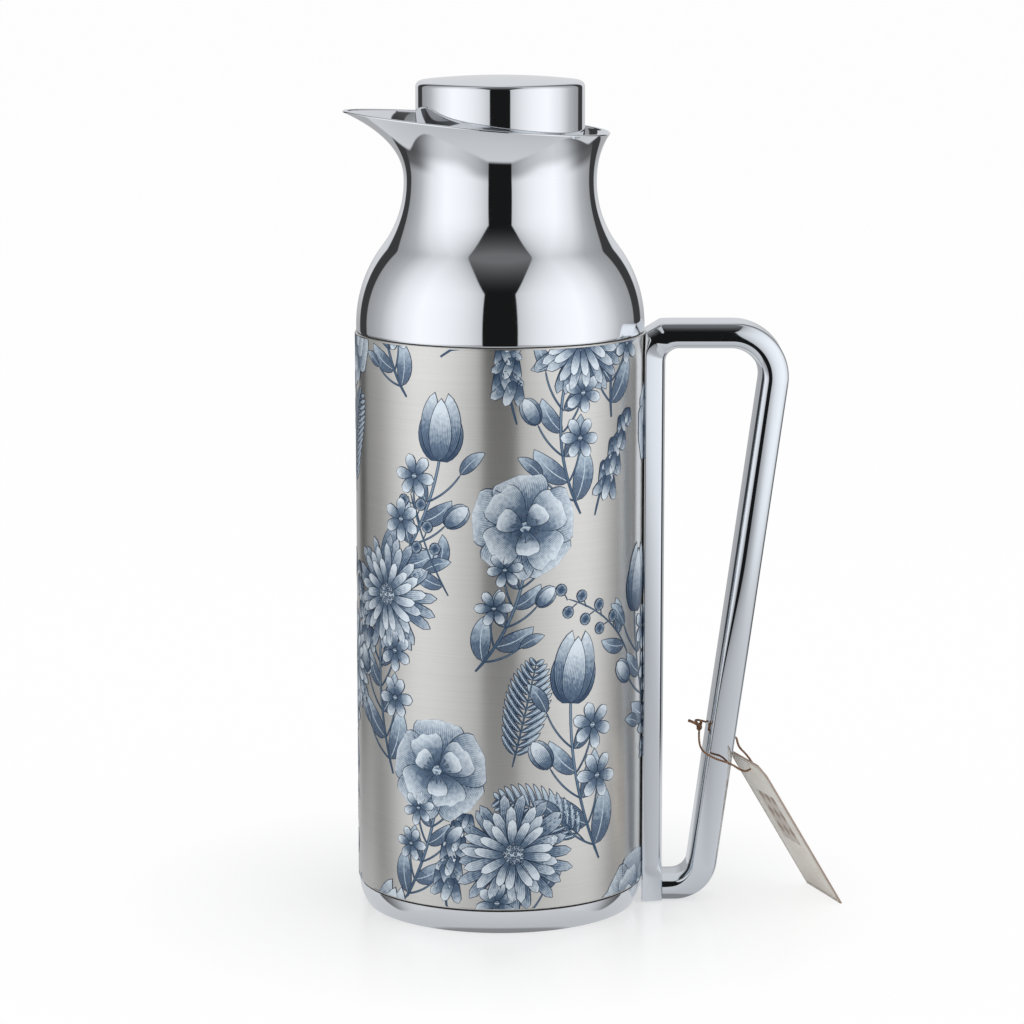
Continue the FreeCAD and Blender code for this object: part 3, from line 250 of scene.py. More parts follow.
def roundCorners(corners, steps=8, straight=2):
    # an open line through (x, y, radius) corners; one with a radius becomes an arc that touches both sides
    line = [np.array(corners[0][:2], float)[None]]
    for before, here, after in zip(corners, corners[1:], corners[2:]):
        p, q, r = (np.array(c[:2], float) for c in (before, here, after))
        back, on = unit(p - q), unit(r - q)
        half = math.acos(np.clip(back @ on, -1, 1)) / 2
        if here[2] == 0:
            arc = q[None]
        else:
            centre = q + unit(back + on) * here[2] / math.sin(half)
            start, end = q + back * here[2] / math.tan(half), q + on * here[2] / math.tan(half)
            turn = np.linspace(0, 1, steps + 1)[:, None] * (math.pi - 2 * half)
            first = (start - centre) / here[2]
            across = unit((end - centre) / here[2] - first * math.cos(math.pi - 2 * half))
            arc = centre + here[2] * (first * np.cos(turn) + across * np.sin(turn))
        run = np.linspace(0, 1, straight + 1)[1:-1, None]
        line += [line[-1][-1] + run * (arc[0] - line[-1][-1]), arc]
    end = np.array(corners[-1][:2], float)
    run = np.linspace(0, 1, straight + 1)[1:, None]
    return np.concatenate(line + [line[-1][-1] + run * (end - line[-1][-1])])


def ringRows(radius, height, angle):
    # a ring of points round the Z axis for every radius and height
    r, z = np.atleast_1d(radius)[:, None], np.atleast_1d(height)[:, None]
    return np.stack(np.broadcast_arrays(r * np.cos(angle), r * np.sin(angle), z + 0 * angle), -1)


def turnRound(profile, segments=256):
    # every (radius, height) of a profile turned round the Z axis
    return ringRows(*profile.T, np.linspace(0, 2 * math.pi, segments + 1))


def gridUv(grid):
    v, u = np.meshgrid(np.linspace(0, 1, grid.shape[0]), np.linspace(0, 1, grid.shape[1]), indexing="ij")
    return np.stack([v, u], -1)  # the first UV axis runs along the profile


def ramp(low, high, value):  # 0 to 1 in a straight line
    return np.clip((value - low) / (high - low), 0, 1)


def smoothStep(low, high, value):  # 0 to 1 with soft ends
    share = ramp(low, high, value)
    return share * share * (3 - 2 * share)


# the camera stands where the photograph was taken, with a long lens
cameraSet = {"lens": 131.25, "pitch": 10.12, "distance": 1401.2, "aimHeight": 148.7, "aside": 4.34,
             "sensor": 36, "clip": (0.05, 100)}


def addCamera():
    data = bpy.data.cameras.new("camera")
    data.lens = cameraSet["lens"]
    data.sensor_width = cameraSet["sensor"]
    data.clip_start, data.clip_end = cameraSet["clip"]
    tilt, distance = math.radians(cameraSet["pitch"]), cameraSet["distance"]
    height = cameraSet["aimHeight"] + distance * math.sin(tilt)
    camera = newObject("camera", data)
    camera.location = (cameraSet["aside"] * mm, -distance * math.cos(tilt) * mm, height * mm)
    camera.rotation_euler = (math.pi / 2 - tilt, 0, 0)
    bpy.context.scene.camera = camera


addCamera()

tag = {
    "corner": (118.8, 17.0, 0.4), "along": (10.64, -29.33, 0.0), "up": (-0.486, -0.176, 0.856),
    "width": 31.2, "length": 65.0, "thickness": 0.6, "clip": 4.0, "holeRadius": 1.5, "holeInset": 5.0,
    "borderInset": 1.3, "borderWidth": 0.35, "rim": 0.45,
    "panelMiddle": (15.6, 37.0), "panelHalf": (8.0, 11.5),
    "lozenge": (2.7, 3.9), "rays": 28, "rings": (0, 0.03, 0.1, 0.22, 0.36, 0.5, 0.64, 0.78, 0.9, 0.97, 1.0),
}
string = {
    "route": (
        (75.2, -4.0, 66.6), (74.6, -9.5, 63.5), (75.6, -14.2, 60.0), (80.5, -15.0, 57.2), (86.5, -15.0, 55.4),
        (90.3, -12.6, 52.2), (92.9, -9.6, 50.8), (96.0, -7.4, 52.6), (93.4, -2.2, 55.6), (90.9, 3.4, 57.0),
        (90.4, 8.6, 57.8), (90.4, 13.0, 58.6), (87.6, 16.0, 60.0), (82.4, 16.8, 62.4), (77.4, 15.8, 64.6),
        (74.4, 10.8, 66.2), (74.2, 3.5, 67.0), (75.2, -2.2, 67.2),
    ),
    "diameter": 0.9, "length": 92.8, "twist": 1.6, "steps": 560,
}
knot = {
    "size": 0.36, "deep": 1.6, "tube": 0.52, "steps": 120,
    "tail": (-4.1, -0.55, 2.4), "stub": (0.7, -0.9, 2.3),
    "endBend": (0.2, 0.3, 0.1), "endSize": (0.9, 1.15), "endSteps": 14,
}


# Twisted cotton cord, dyed brown: two plies turn round each other every 1.6 mm, with dry broken fibres.
def cottonCord():
    material, node, place = newMaterial("twistedCottonCord")
    fibre = node("TexNoise", {"Vector": place, "Scale": every(0.7143), "Detail": 3})
    share = node("MapRange", [fibre, 0.3, 0.7])
    tone = node("Mix", {0: share, 6: linear("#5E3B26"), 7: linear("#A07A5C")}, 2, data_type="RGBA")
    node("BsdfPrincipled", {
        "Base Color": tone, "Roughness": 0.85,
        "Normal": node("Bump", {"Height": fibre, "Strength": 0.6, "Distance": 0.15 * mm}),
    })
    return material


# Uncoated card, printed in brown with a line along its edge and a panel of small lozenges: pale, matt, with
# fibre flecks under a millimetre and a slight mottle; the cut edge is darker than the face.
def printedCard():
    material, node, place = newMaterial("uncoatedCard")
    fibre = node("TexNoise", {"Vector": place, "Scale": every(0.5556), "Detail": 4})
    pulp = node("TexNoise", {"Vector": place, "Scale": every(8.333), "Detail": 3})
    mottle = node("MapRange", [pulp, 0.3, 0.7])
    fleck = node("MapRange", [fibre, 0.45, 0.75, 0.0, 0.5])
    face = node("Mix", {0: mottle, 6: linear("#F2EDE4"), 7: linear("#FAF7F1")}, 2, data_type="RGBA")
    face = node("Mix", {0: fleck, 6: face, 7: linear("#DBD1C1")}, 2, data_type="RGBA")
    edge, across, upward = (node("Attribute", output="Fac", attribute_name=a)
                            for a in ("edge", "across", "upward"))
    line = node("Math", [edge, tag["borderInset"], tag["borderWidth"] / 2], operation="COMPARE")
    rim = node("Math", [edge, tag["rim"]], operation="LESS_THAN")
    border = node("Math", [line, rim], operation="MAXIMUM")
    border = node("Math", [border, 0.8], operation="MULTIPLY")
    stepAcross, stepUp = tag["lozenge"]
    inAcross, inUp = (node("Math", [way, middle, half], operation="COMPARE")
                      for way, middle, half in zip((across, upward), tag["panelMiddle"], tag["panelHalf"]))
    panel = node("Math", [inAcross, inUp], operation="MULTIPLY")
    sideways = node("Math", [across, stepAcross], operation="PINGPONG")
    lengthways = node("Math", [upward, stepUp], operation="PINGPONG")
    off = node("Math", [sideways, stepUp / stepAcross, lengthways], operation="MULTIPLY_ADD")
    tint = node("MapRange", [off, stepUp * 0.7, stepUp * 0.9, 0.75, 0.35])
    inside = node("Math", [panel, tint], operation="MULTIPLY")
    ink = node("Math", [border, inside], operation="MAXIMUM")
    node("BsdfPrincipled", {
        "Base Color": node("Mix", {0: ink, 6: face, 7: linear("#8A6B58")}, 2, data_type="RGBA"),
        "Roughness": 0.82, "Normal": node("Bump", {"Height": fibre, "Strength": 0.4, "Distance": 0.04 * mm}),
    })
    return material


cord = cottonCord()
card = printedCard()


def tagPiece():
    # the card is a ring of rays from the hole to the outline, front and back, closed at both rims
    w, l, clip = tag["width"], tag["length"], tag["clip"]
    outline = [(0, 0), (w, 0), (w, l - clip), (w - clip, l), (clip, l), (0, l - clip), (0, 0)]
    hole = np.array([w / 2, l - tag["holeInset"]])
    steps = np.concatenate([np.linspace(a, b, tag["rays"], endpoint=False)
                            for a, b in zip(outline, outline[1:])])
    steps = np.concatenate([steps, steps[:1]])
    rim = hole + unit(steps - hole) * tag["holeRadius"]
    share = np.array(tag["rings"])[:, None, None]
    flat = rim + share * (steps - rim)
    flat = np.concatenate([flat, flat[::-1], flat[:1]])
    height = np.repeat([0.0, tag["thickness"], 0.0], [len(share), len(share), 1])[:, None] + 0 * flat[..., 0]
    along = unit(np.array(tag["along"]))
    facing = unit(np.cross(along, tag["up"]))
    up = np.cross(facing, along)
    grid = np.array(tag["corner"]) + flat[..., :1] * along + flat[..., 1:] * up + height[..., None] * facing
    x, y = flat[..., 0], flat[..., 1]
    corners = (np.minimum(x, w - x) + l - y - clip) / math.sqrt(2)
    edge = np.minimum.reduce([x, w - x, y, l - y, corners])
    newPiece("tagCard", [grid], card, "jug", ["swing_tag"],
             values={"edge": [edge], "across": [x], "upward": [y]}, sharp=30)


def acrossWay(path):
    # two directions square to each other and to the way from point to point
    way = unit(np.gradient(path, axis=0))
    side = unit(np.cross(way, [0.35, 0.2, 0.92]))  # a slant that none of the paths follows
    return side, np.cross(way, side)


def tubeAlong(path, radius, sides=10):
    # a circle carried along a path of points
    side, other = acrossWay(path)
    angle = np.linspace(0, 2 * math.pi, sides + 1)[None, :, None]
    size = np.broadcast_to(radius, len(path))[:, None, None]
    return path[:, None] + size * (np.cos(angle) * side[:, None] + np.sin(angle) * other[:, None])


def closedTube(path, radius, sides=10):
    # a tube whose two ends are drawn together into their middle points
    tube = tubeAlong(path, radius, sides)
    ends = [np.broadcast_to(path[i], tube[i].shape)[None] for i in (0, -1)]
    return np.concatenate([ends[0], tube, ends[1]])


def knotPiece():
    # a trefoil: x = sin t + 2 sin 2t, y = cos t - 2 cos 2t, z = -sin 3t, with the two cut ends of the string
    t = np.linspace(0, 2 * math.pi, knot["steps"] + 1)
    deep = -np.sin(3 * t) * knot["deep"]
    turns = np.stack([deep, np.sin(t) + 2 * np.sin(2 * t), np.cos(t) - 2 * np.cos(2 * t)], -1)
    middle = (np.array(string["route"][0]) + np.array(string["route"][-1])) / 2
    way = np.linspace(0, 1, knot["endSteps"])[:, None]
    grids = [tubeAlong(middle + turns * knot["size"], knot["tube"])]
    for end in ("tail", "stub"):
        path = middle + way * np.array(knot[end]) + np.sin(way * math.pi) * np.array(knot["endBend"])
        grids.append(closedTube(path, knot["tube"] * np.linspace(*knot["endSize"], len(path))))
    return newPiece("stringKnot", grids, cord, "jug", ["tag_knot"], sharp=60)


def stringRoute():
    # the route is a smooth spline with the route's points as its control points
    data = bpy.data.curves.new("stringRoute", "CURVE")
    data.dimensions = "3D"
    data.resolution_u = 12
    spline = data.splines.new("NURBS")
    spline.points.add(len(string["route"]) - 1)
    flat = np.concatenate([np.array(string["route"]) * mm, np.ones((len(string["route"]), 1))], 1)
    spline.points.foreach_set("co", flat.ravel())
    spline.order_u = 3
    spline.use_endpoint_u = True
    route = newObject("stringRoute", data)
    bpy.context.view_layer.update()
    mesh = bpy.data.meshes.new_from_object(route.evaluated_get(bpy.context.evaluated_depsgraph_get()))
    line = np.zeros(len(mesh.vertices) * 3)
    mesh.vertices.foreach_get("co", line)
    bpy.data.objects.remove(route)
    return line.reshape(-1, 3) / mm


def stringPiece():
    # two plies, each a tube on a helix round the route
    line = stringRoute()
    run = np.concatenate([[0], np.cumsum(np.linalg.norm(np.diff(line, axis=0), axis=1))])
    even = np.linspace(0, run[-1], string["steps"])
    path = np.stack([np.interp(even, run, line[:, i]) for i in range(3)], -1)
    side, other = acrossWay(path)
    ply = string["diameter"] / 4
    turn = (even / string["twist"] * 2 * math.pi)[:, None]
    helix = ply * (np.cos(turn) * side + np.sin(turn) * other)
    grids = [closedTube(path + sign * helix, ply, 8) for sign in (1, -1)]
    piece = newPiece("tagString", grids, cord, "jug", ["tag_string"], sharp=80, weld=0.00005)
    return piece, path


tagPiece()
stringKnot = knotPiece()
tagString, stringPath = stringPiece()
print("tag on its string hung")

shoulder = {
    "radius": 53.6, "ledge": 218.0, "straight": 2.0, "round": 48.0, "neckRadius": 35.7, "rise": 53.0,
    "wall": 1.2, "ledgeHeight": 1.6, "spigotOuter": 51.25, "spigotInner": 49.65, "spigotLength": 10.0,
    "lipBack": 40.6, "lipBackRise": 18.1, "spoutReach": 58.2, "spoutRise": 26.1, "spoutAngle": 32.0,
    "backPower": 2.2, "spoutPower": 3.2, "risePower": 1.4, "pointPower": 1.4, "blunt": 0.04, "rimPower": 8,
    "shoulderRows": 72, "lipRows": 44, "rowPower": 0.9, "rimRows": 9, "segments": 288,
}
throat = shoulder["ledge"] + shoulder["straight"] + shoulder["rise"]  # height at which the lip begins


def shoulderRadius(height):
    # convex arc over the shoulder, then a concave arc into the neck that touches it
    s = shoulder
    fall, rise = s["radius"] - s["neckRadius"], s["rise"]
    bothRounds = (fall**2 + rise**2) / (2 * fall)
    neckRound = bothRounds - s["round"]
    above = np.maximum(0, height - s["ledge"] - s["straight"])
    below = np.clip(rise - above, 0, neckRound)
    convex = s["radius"] - s["round"] + np.sqrt(np.maximum(0, s["round"]**2 - above**2))
    concave = s["neckRadius"] + neckRound - np.sqrt(neckRound**2 - below**2)
    return np.where(above <= rise * s["round"] / bothRounds, convex, concave)


def lipRing(share, angle):
    # the flare grows with height to a power; round the spout it falls off as a bell of the angle
    s, neck = shoulder, shoulder["neckRadius"]
    back = neck + (s["lipBack"] - neck) * share ** s["backPower"]
    tip = neck + (s["spoutReach"] - neck) * share ** s["spoutPower"]
    backHeight = throat + s["lipBackRise"] * share
    tipHeight = throat + s["spoutRise"] * share ** s["risePower"]
    offSpout = np.sqrt((angle - math.pi) ** 2 + s["blunt"]**2) - s["blunt"]
    bell = np.exp(-((np.abs(offSpout) / math.radians(s["spoutAngle"])) ** s["pointPower"]))
    radius = back + (tip - back) * bell
    x, y = radius * np.cos(angle), radius * np.sin(angle)
    lift = (tipHeight - backHeight) * (back - x) / (back + tip)
    return np.stack(np.broadcast_arrays(x, y, backHeight + lift), -1)


def inward(rows, wall):
    # moved towards the axis by the wall, level
    reach = np.linalg.norm(rows[..., :2], axis=-1, keepdims=True)
    return np.concatenate([rows[..., :2] * (1 - wall / reach), rows[..., 2:]], -1)


def shoulderPiece():
    # rings up the shoulder and the lip, over a half-round rim, down inside and out to a spigot in the sleeve
    s, wall, ledge = shoulder, shoulder["wall"], shoulder["ledge"]
    angle = np.linspace(0, 2 * math.pi, s["segments"] + 1)[None, :]
    heights = np.concatenate([[ledge + 0.1], np.linspace(ledge + 1, throat, s["shoulderRows"])])
    foot = ringRows([s["radius"] - 0.1, s["radius"] - 0.03], [ledge, ledge + 0.03], angle)  # a broken edge
    outer = ringRows(shoulderRadius(heights), heights, angle)
    share = np.linspace(0, 1, s["lipRows"] + 1)[1:, None] ** s["rowPower"]
    lip = lipRing(share, angle) - (wall / 2 * share ** s["rimPower"])[..., None] * np.array([0, 0, 1])
    edge, inner = lip[-1:], inward(lip[-1:], wall)
    over = np.linspace(0, math.pi, s["rimRows"])[1:-1, None, None]
    rim = (edge + inner) / 2 + (edge - inner) / 2 * np.cos(over) + np.array([0, 0, wall / 2]) * np.sin(over)
    inside = np.concatenate([inward(lip[::-1], wall), inward(outer[::-1][:-3], wall)])
    low = ledge - s["spigotLength"]
    socket = ringRows([s["radius"] - wall] + [s["spigotInner"]] * 2 + [s["spigotOuter"]] * 2,
                      [ledge + s["ledgeHeight"]] * 2 + [low] * 2 + [ledge], angle)
    grid = np.concatenate([foot, outer, lip, rim, inside, socket, foot[:1]])
    newPiece("shoulderShell", [grid], chrome, "jug", ["shoulder_shell"], sharp=40)


shoulderPiece()

cap = {"radius": 31.25, "wall": 1.2, "dome": 1.9, "edgeRound": 2.2, "hem": 0.35, "innerEdge": 0.2}


def pushCapPiece():
    # a shallow dome on an upright side with a rounded edge between them, hollow underneath
    low, high = (c.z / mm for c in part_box("push_cap"))
    r, wall, dome, edge, hem = cap["radius"], cap["wall"], cap["dome"], cap["edgeRound"], cap["hem"]
    sphere = (r**2 + dome**2) / (2 * dome)

    def domeLine(top, reach):
        a = np.linspace(0, math.asin(reach / sphere), 40)
        return np.stack([sphere * np.sin(a), top - sphere * (1 - np.cos(a))], -1)

    outerDome = domeLine(high, r - edge)
    first = math.asin(outerDome[-1, 0] / sphere)
    lift = outerDome[-1, 1] - edge * math.cos(first)
    a = np.linspace(first, math.pi / 2, 12)[1:]
    edgeArc = np.stack([np.minimum(r - edge + edge * np.sin(a), r), lift + edge * np.cos(a)], -1)
    side = roundCorners([(r, lift, 0), (r, low, hem), (r - wall, low, hem),
                         (r - wall, high - dome - wall, 0)], 6, 6)
    innerDome = domeLine(high - wall, r - wall - cap["innerEdge"])[::-1]
    profile = np.concatenate([outerDome, edgeArc, side[1:], innerDome])
    newPiece("pushCap", [turnRound(profile)], chrome, "push_cap", ["push_cap"], sharp=40)


pushCapPiece()

base = {
    "radius": 53.6, "height": 9.0, "round": 16.9, "footOuter": 51.0, "footInner": 47.0, "spigotOuter": 51.25,
    "spigotInner": 49.65, "spigotTop": 19.0, "flangeBottom": 5.5, "flangeTop": 8.0, "flangeInner": 40.0,
    "edge": 0.4, "topEdge": 0.25,
}


def baseRingPiece():
    # a foot, a side that is an arc over the line from foot to top, and the spigot and flange inside
    r, top, outer, inner, edge = (base[k] for k in ("radius", "height", "footOuter", "footInner", "edge"))
    chord = np.array([r - outer, top])
    length = np.linalg.norm(chord)
    left = np.array([-chord[1], chord[0]]) / length
    centre = np.array([outer, 0]) + chord / 2 + left * math.sqrt(base["round"]**2 - length**2 / 4)
    a = np.linspace(math.atan2(-centre[1], outer - centre[0]), math.atan2(top - centre[1], r - centre[0]), 30)
    side = centre + base["round"] * np.stack([np.cos(a), np.sin(a)], -1)
    side[-1] += (0, -base["topEdge"])
    rest = [(r - edge, top), (base["spigotOuter"], top), (base["spigotOuter"], base["spigotTop"]),
            (base["spigotInner"], base["spigotTop"]), (base["spigotInner"], base["flangeTop"]),
            (base["flangeInner"], base["flangeTop"]), (base["flangeInner"], base["flangeBottom"]),
            (inner, base["flangeBottom"]), (inner, edge), (inner + edge, 0), (outer, 0)]
    profile = np.concatenate([side, rest])
    newPiece("baseRing", [turnRound(profile)], chrome, "jug", ["base_ring"], sharp=32)


baseRingPiece()

sleeve = {"radius": 54.0, "wall": 0.6, "hem": 2.6, "hemRound": 0.45}


def sleevePiece():
    # a thin wall with both ends hemmed inwards round a small radius
    low, high = (c.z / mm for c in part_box("steel_sleeve"))
    r, wall, fold = sleeve["radius"], sleeve["wall"], sleeve["hemRound"]
    hem = r - sleeve["hem"]
    line = [(hem, low, 0), (r, low, fold), (r, high, fold), (hem, high, 0), (hem, high - wall, 0),
            (r - wall, high - wall, 0), (r - wall, low + wall, 0), (hem, low + wall, 0), (hem, low, 0)]
    grid = turnRound(roundCorners(line, 5, 10))
    newPiece("steelSleeve", [grid], steel, "jug", ["steel_sleeve"], uvs=[gridUv(grid)])


sleevePiece()

handle = {
    "saddle": 54.5, "back": 53.38, "face": 61.3, "stub": 66.3, "foot": 0.6, "top": 221.2, "topBar": 9.9,
    "bottomBar": 9.0, "chamferAcross": 6.2, "chamferDrop": 3.75, "innerRound": 5.0, "topReach": 110.0,
    "bottomReach": 80.1, "thickness": 10.8, "outerTopRound": 20.5, "outerBottomRound": 16.0,
    "innerTopRound": 10.5, "innerBottomRound": 6.0, "halfDepth": 11.0, "cornerSteps": 28, "straightSteps": 40,
    "footFrom": 15.0, "footTo": 10.5, "lowFrom": 134.0, "lowTo": 74.0, "lowEnd": (62.0, 76.0),
    "turnFrom": 12.0, "turnTo": 62.0, "cornerPower": 90,
    "gripFront": ((26.0, -81, -69), (0.8, -69, -27), (5.6, -27, 0), (8.9, 0, 39), (2.16, 39, 90)),
    "gripLow": ((26.0, -82, -72), (0.8, -72, -27), (0.6, -27, 10), (23.0, 10, 26), (2.16, 26, 90)),
    "railFront": ((28.0, -85, -73.5), (0.5, -73.5, -22), (31.0, -22, -13), (0.5, -13, 40), (0.5, 40, 85)),
    "railFoot": ((0.6, -88, -60), (0.5, -60, -20), (45.0, -20, -14), (0.5, -14, 40), (0.5, 40, 85)),
}


def frontLine(arcs):
    # half a section, from the middle of the inner side over the front to the middle of the outer side: arcs
    # of a radius between two directions of the surface, as shares of the width and distances from the middle
    place, y = [np.zeros(1)], [np.zeros(1)]
    for radius, first, last in arcs:
        a = np.radians(np.linspace(first, last, 9))[1:]
        place.append(place[-1][-1] + radius * (np.sin(a) - math.sin(math.radians(first))))
        y.append(y[-1][-1] + radius * (np.cos(a) - math.cos(math.radians(first))))
    place, y = np.concatenate(place), np.concatenate(y)
    place, y = place / place[-1], y - y.max() + handle["halfDepth"]
    side = np.linspace(0, 1, 6)[:-1]
    y = np.concatenate([side * y[0], y, side[::-1] * y[-1]])
    return np.concatenate([0 * side, place, 1 + 0 * side]), y


def barSections(outer, inner, fronts, saddle=0.0):
    # half sections and their mirror images set between an outer and an inner line, mixed by a share for each
    # front at every step; saddle hollows the outer side where it is upright
    across = outer - inner
    width = np.linalg.norm(across, axis=1)[:, None]
    across = across / width
    lines = [(np.reshape(share, (-1, 1)), *frontLine(handle[front])) for front, share in fronts.items()]
    place = sum(share * place for share, place, _ in lines) * width
    y = sum(share * y for share, _, y in lines) + 0 * width
    if saddle:
        hollow = np.sqrt(saddle**2 - y**2) - math.sqrt(saddle**2 - handle["halfDepth"]**2)
        place = place - hollow * np.clip(-across[:, :1], 0, 1) ** 2 * smoothStep(0.6, 1.0, place / width)
    place = np.concatenate([place, place[:, ::-1], place[:, :1]], 1)
    y = np.concatenate([y, -y[:, ::-1], y[:, :1]], 1)
    grid = np.stack([inner[:, :1] + place * across[:, :1], y, inner[:, 1:] + place * across[:, 1:]], -1)
    ends = [np.broadcast_to(row.mean(0), row.shape)[None] for row in (grid[0], grid[-1])]
    return np.concatenate([ends[0], grid, ends[1]])


def gripPiece():
    # a bar carried round the hand's opening; down the leaning side its front flattens and turns outwards
    h = handle
    lean = (h["topReach"] - h["bottomReach"]) / (h["top"] - h["foot"])
    across = h["thickness"] * math.sqrt(1 + lean**2)
    topInner, bottomInner = h["top"] - h["topBar"], h["foot"] + h["bottomBar"]
    topEnd = h["topReach"] - lean * h["topBar"] - across
    bottomEnd = h["bottomReach"] + lean * h["bottomBar"] - across
    outer = [(h["stub"], h["top"], 0), (h["topReach"], h["top"], h["outerTopRound"]),
             (h["bottomReach"], h["foot"], h["outerBottomRound"]), (h["face"], h["foot"], 0)]
    inner = [(h["stub"], topInner, 0), (topEnd, topInner, h["innerTopRound"]),
             (bottomEnd, bottomInner, h["innerBottomRound"]), (h["face"], bottomInner, 0)]
    outer, inner = (roundCorners(line, h["cornerSteps"], h["straightSteps"]) for line in (outer, inner))
    reach, height = ((outer + inner) / 2).T
    low = smoothStep(h["lowFrom"], h["lowTo"], height) * smoothStep(*h["lowEnd"], reach)
    grid = barSections(outer, inner, {"gripFront": 1 - low, "gripLow": low})
    newPiece("handleGrip", [grid], chromeHandle, "jug", ["handle_grip"], sharp=50)


def railPiece():
    # the upright hugs the sleeve and its front turns a little towards the hand; round the corner the sections
    # lie on rays from the middle of the inner round, where the front becomes the grip's, and at the foot the
    # upright fills out to the end of the bottom bar; a ray ends at the nearest of back, chamfer and top
    h = handle
    middle = np.array([h["face"], h["top"] - h["topBar"]]) + h["innerRound"] * np.array([1, -1])
    low, high = np.linspace(h["foot"], h["footFrom"], 16), np.linspace(h["footFrom"], middle[1], 26)
    height = np.concatenate([low[:-1], high])
    degrees = np.linspace(0, 90, 91)[1:]
    ray = np.stack([-np.cos(np.radians(degrees)), np.sin(np.radians(degrees))], -1)
    slant = unit(np.array([-h["chamferDrop"], h["chamferAcross"]]))
    corner = np.array([h["back"], h["top"] - h["chamferDrop"]])
    nearest = 0
    for facing, point in (((-1, 0), corner), (slant, corner), ((0, 1), (h["stub"], h["top"]))):
        nearest = nearest + (np.maximum(ray @ facing, 1e-6) / ((point - middle) @ facing)) ** h["cornerPower"]
    far = nearest[:, None] ** (-1 / h["cornerPower"])
    inner, outer = (np.concatenate([np.stack([x + 0 * height, height], -1), middle + reach * ray])
                    for x, reach in ((h["face"], h["innerRound"]), (h["back"], far)))
    turned = smoothStep(h["turnFrom"], h["turnTo"], np.concatenate([0 * height, degrees]))
    foot = smoothStep(h["footFrom"], h["footTo"], inner[:, 1])
    fronts = {"railFront": 1 - turned - foot, "gripFront": turned, "railFoot": foot}
    grid = barSections(outer, inner, fronts, h["saddle"])
    newPiece("handleRail", [grid], chromeHandle, "jug", ["handle_rail"], sharp=50)


gripPiece()
railPiece()

spring = {
    "radius": 12.0, "wire": 1.2, "turns": 5, "low": 287.3, "high": 301.8, "travel": 5.0, "turnSteps": 36,
}


def springPiece():
    # a circle carried along a helix
    t = np.linspace(0, 1, spring["turns"] * spring["turnSteps"] + 1)
    angle = 2 * math.pi * spring["turns"] * t
    height = spring["low"] + (spring["high"] - spring["low"]) * t
    path = np.stack([spring["radius"] * np.cos(angle), spring["radius"] * np.sin(angle), height], -1)
    coil = closedTube(path, spring["wire"] / 2, 12)
    piece = newPiece("returnSpring", [coil], zinc, "stopper", ["return_spring"], sharp=60)
    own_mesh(piece)


springPiece()

bloom = {
    "seed": 23, "clear": 0.01, "layerStep": 0.012, "orderStep": 0.00006, "inset": 0.1, "leastHeight": 0.3,
    "columns": 6, "rows": 4, "top": 217.0, "bottom": 10.0, "start": 190.0, "outline": 0.32, "facet": 2.0,
    "sizes": {"aster": 22.0, "tulip": 24.0, "poppy": 19.0}, "sprigSize": 40.0, "stagger": 12, "shift": 4,
}
draw = np.random.default_rng(bloom["seed"])
patches = {"petal": [], "leaf": [], "stem": []}


def blade(kind, start, heading, length, width, bend, shape, layer, tone=0.0, lines=5, steps=10):
    # a petal, leaf or stem: across a bent middle line, as wide as u^a (1-u)^b at the share u of its length
    u = np.linspace(0, 1, steps)[:, None]
    v = np.linspace(-1, 1, 2 * math.ceil(width / bloom["facet"] / 2) + 1)[None, :]
    turn = np.radians(heading + bend * u)
    step = length / (steps - 1) * np.concatenate([np.cos(turn), np.sin(turn)], 1)
    middle = np.cumsum(np.concatenate([np.zeros((1, 2)), step[:-1]]), 0)
    a, b = shape
    peak = (a / (a + b)) ** a * (b / (a + b)) ** b
    half = width / 2 * np.maximum(u, 1e-4) ** a * np.maximum(1 - u, 1e-4) ** b / peak
    s = start[0] + middle[:, :1] - np.sin(turn) * half * v
    z = start[1] + middle[:, 1:] + np.cos(turn) * half * v
    patches[kind].append({
        "s": s, "z": z, "edge": half * (1 - np.abs(v)), "lines": lines * v + 0 * s, "along": u + 0 * s,
        "tone": np.full_like(s, tone), "layer": layer,
    })
    return middle[-1] + start


def disc(kind, middle, radius, layer, tone, lines=2):
    # a round spot: columns of half circles from one side to the other
    u = (1 - np.cos(np.linspace(0, math.pi, 7)))[:, None] / 2
    v = np.linspace(-1, 1, 3)[None, :]
    half = radius * np.sqrt(np.maximum(1e-6, 1 - (2 * u - 1) ** 2))
    s, z = middle[0] + radius * (2 * u - 1) + 0 * v, middle[1] + half * v
    reach = np.maximum(0, radius - np.hypot(s - middle[0], z - middle[1]))
    patches[kind].append({
        "s": s, "z": z, "edge": reach, "lines": lines * v + 0 * s, "along": 1 - reach / radius,
        "tone": np.full_like(s, tone), "layer": layer,
    })


def polar(middle, angle, reach):  # a point at an angle and a distance from the middle
    return np.array(middle) + reach * np.array([math.cos(math.radians(angle)), math.sin(math.radians(angle))])


def stem(start, heading, length, bend, width):
    return blade("stem", start, heading, length, width, bend, (0.06, 0.12), 4, steps=16)


def along(start, heading, length, bend, share, steps=39):
    # a point on a stem, and the stem's way there
    turn = np.radians(heading + bend * np.linspace(0, share, steps + 1))[:-1]
    way = np.array([np.cos(turn).sum(), np.sin(turn).sum()])
    return np.array(start) + length * share / steps * way, heading + bend * share


def leaf(point, heading, size, bend, layer=2.0):
    blade("leaf", point, heading, size, size * 0.42, bend, (0.7, 0.85), layer, draw.uniform(0.2, 0.7), 7, 12)


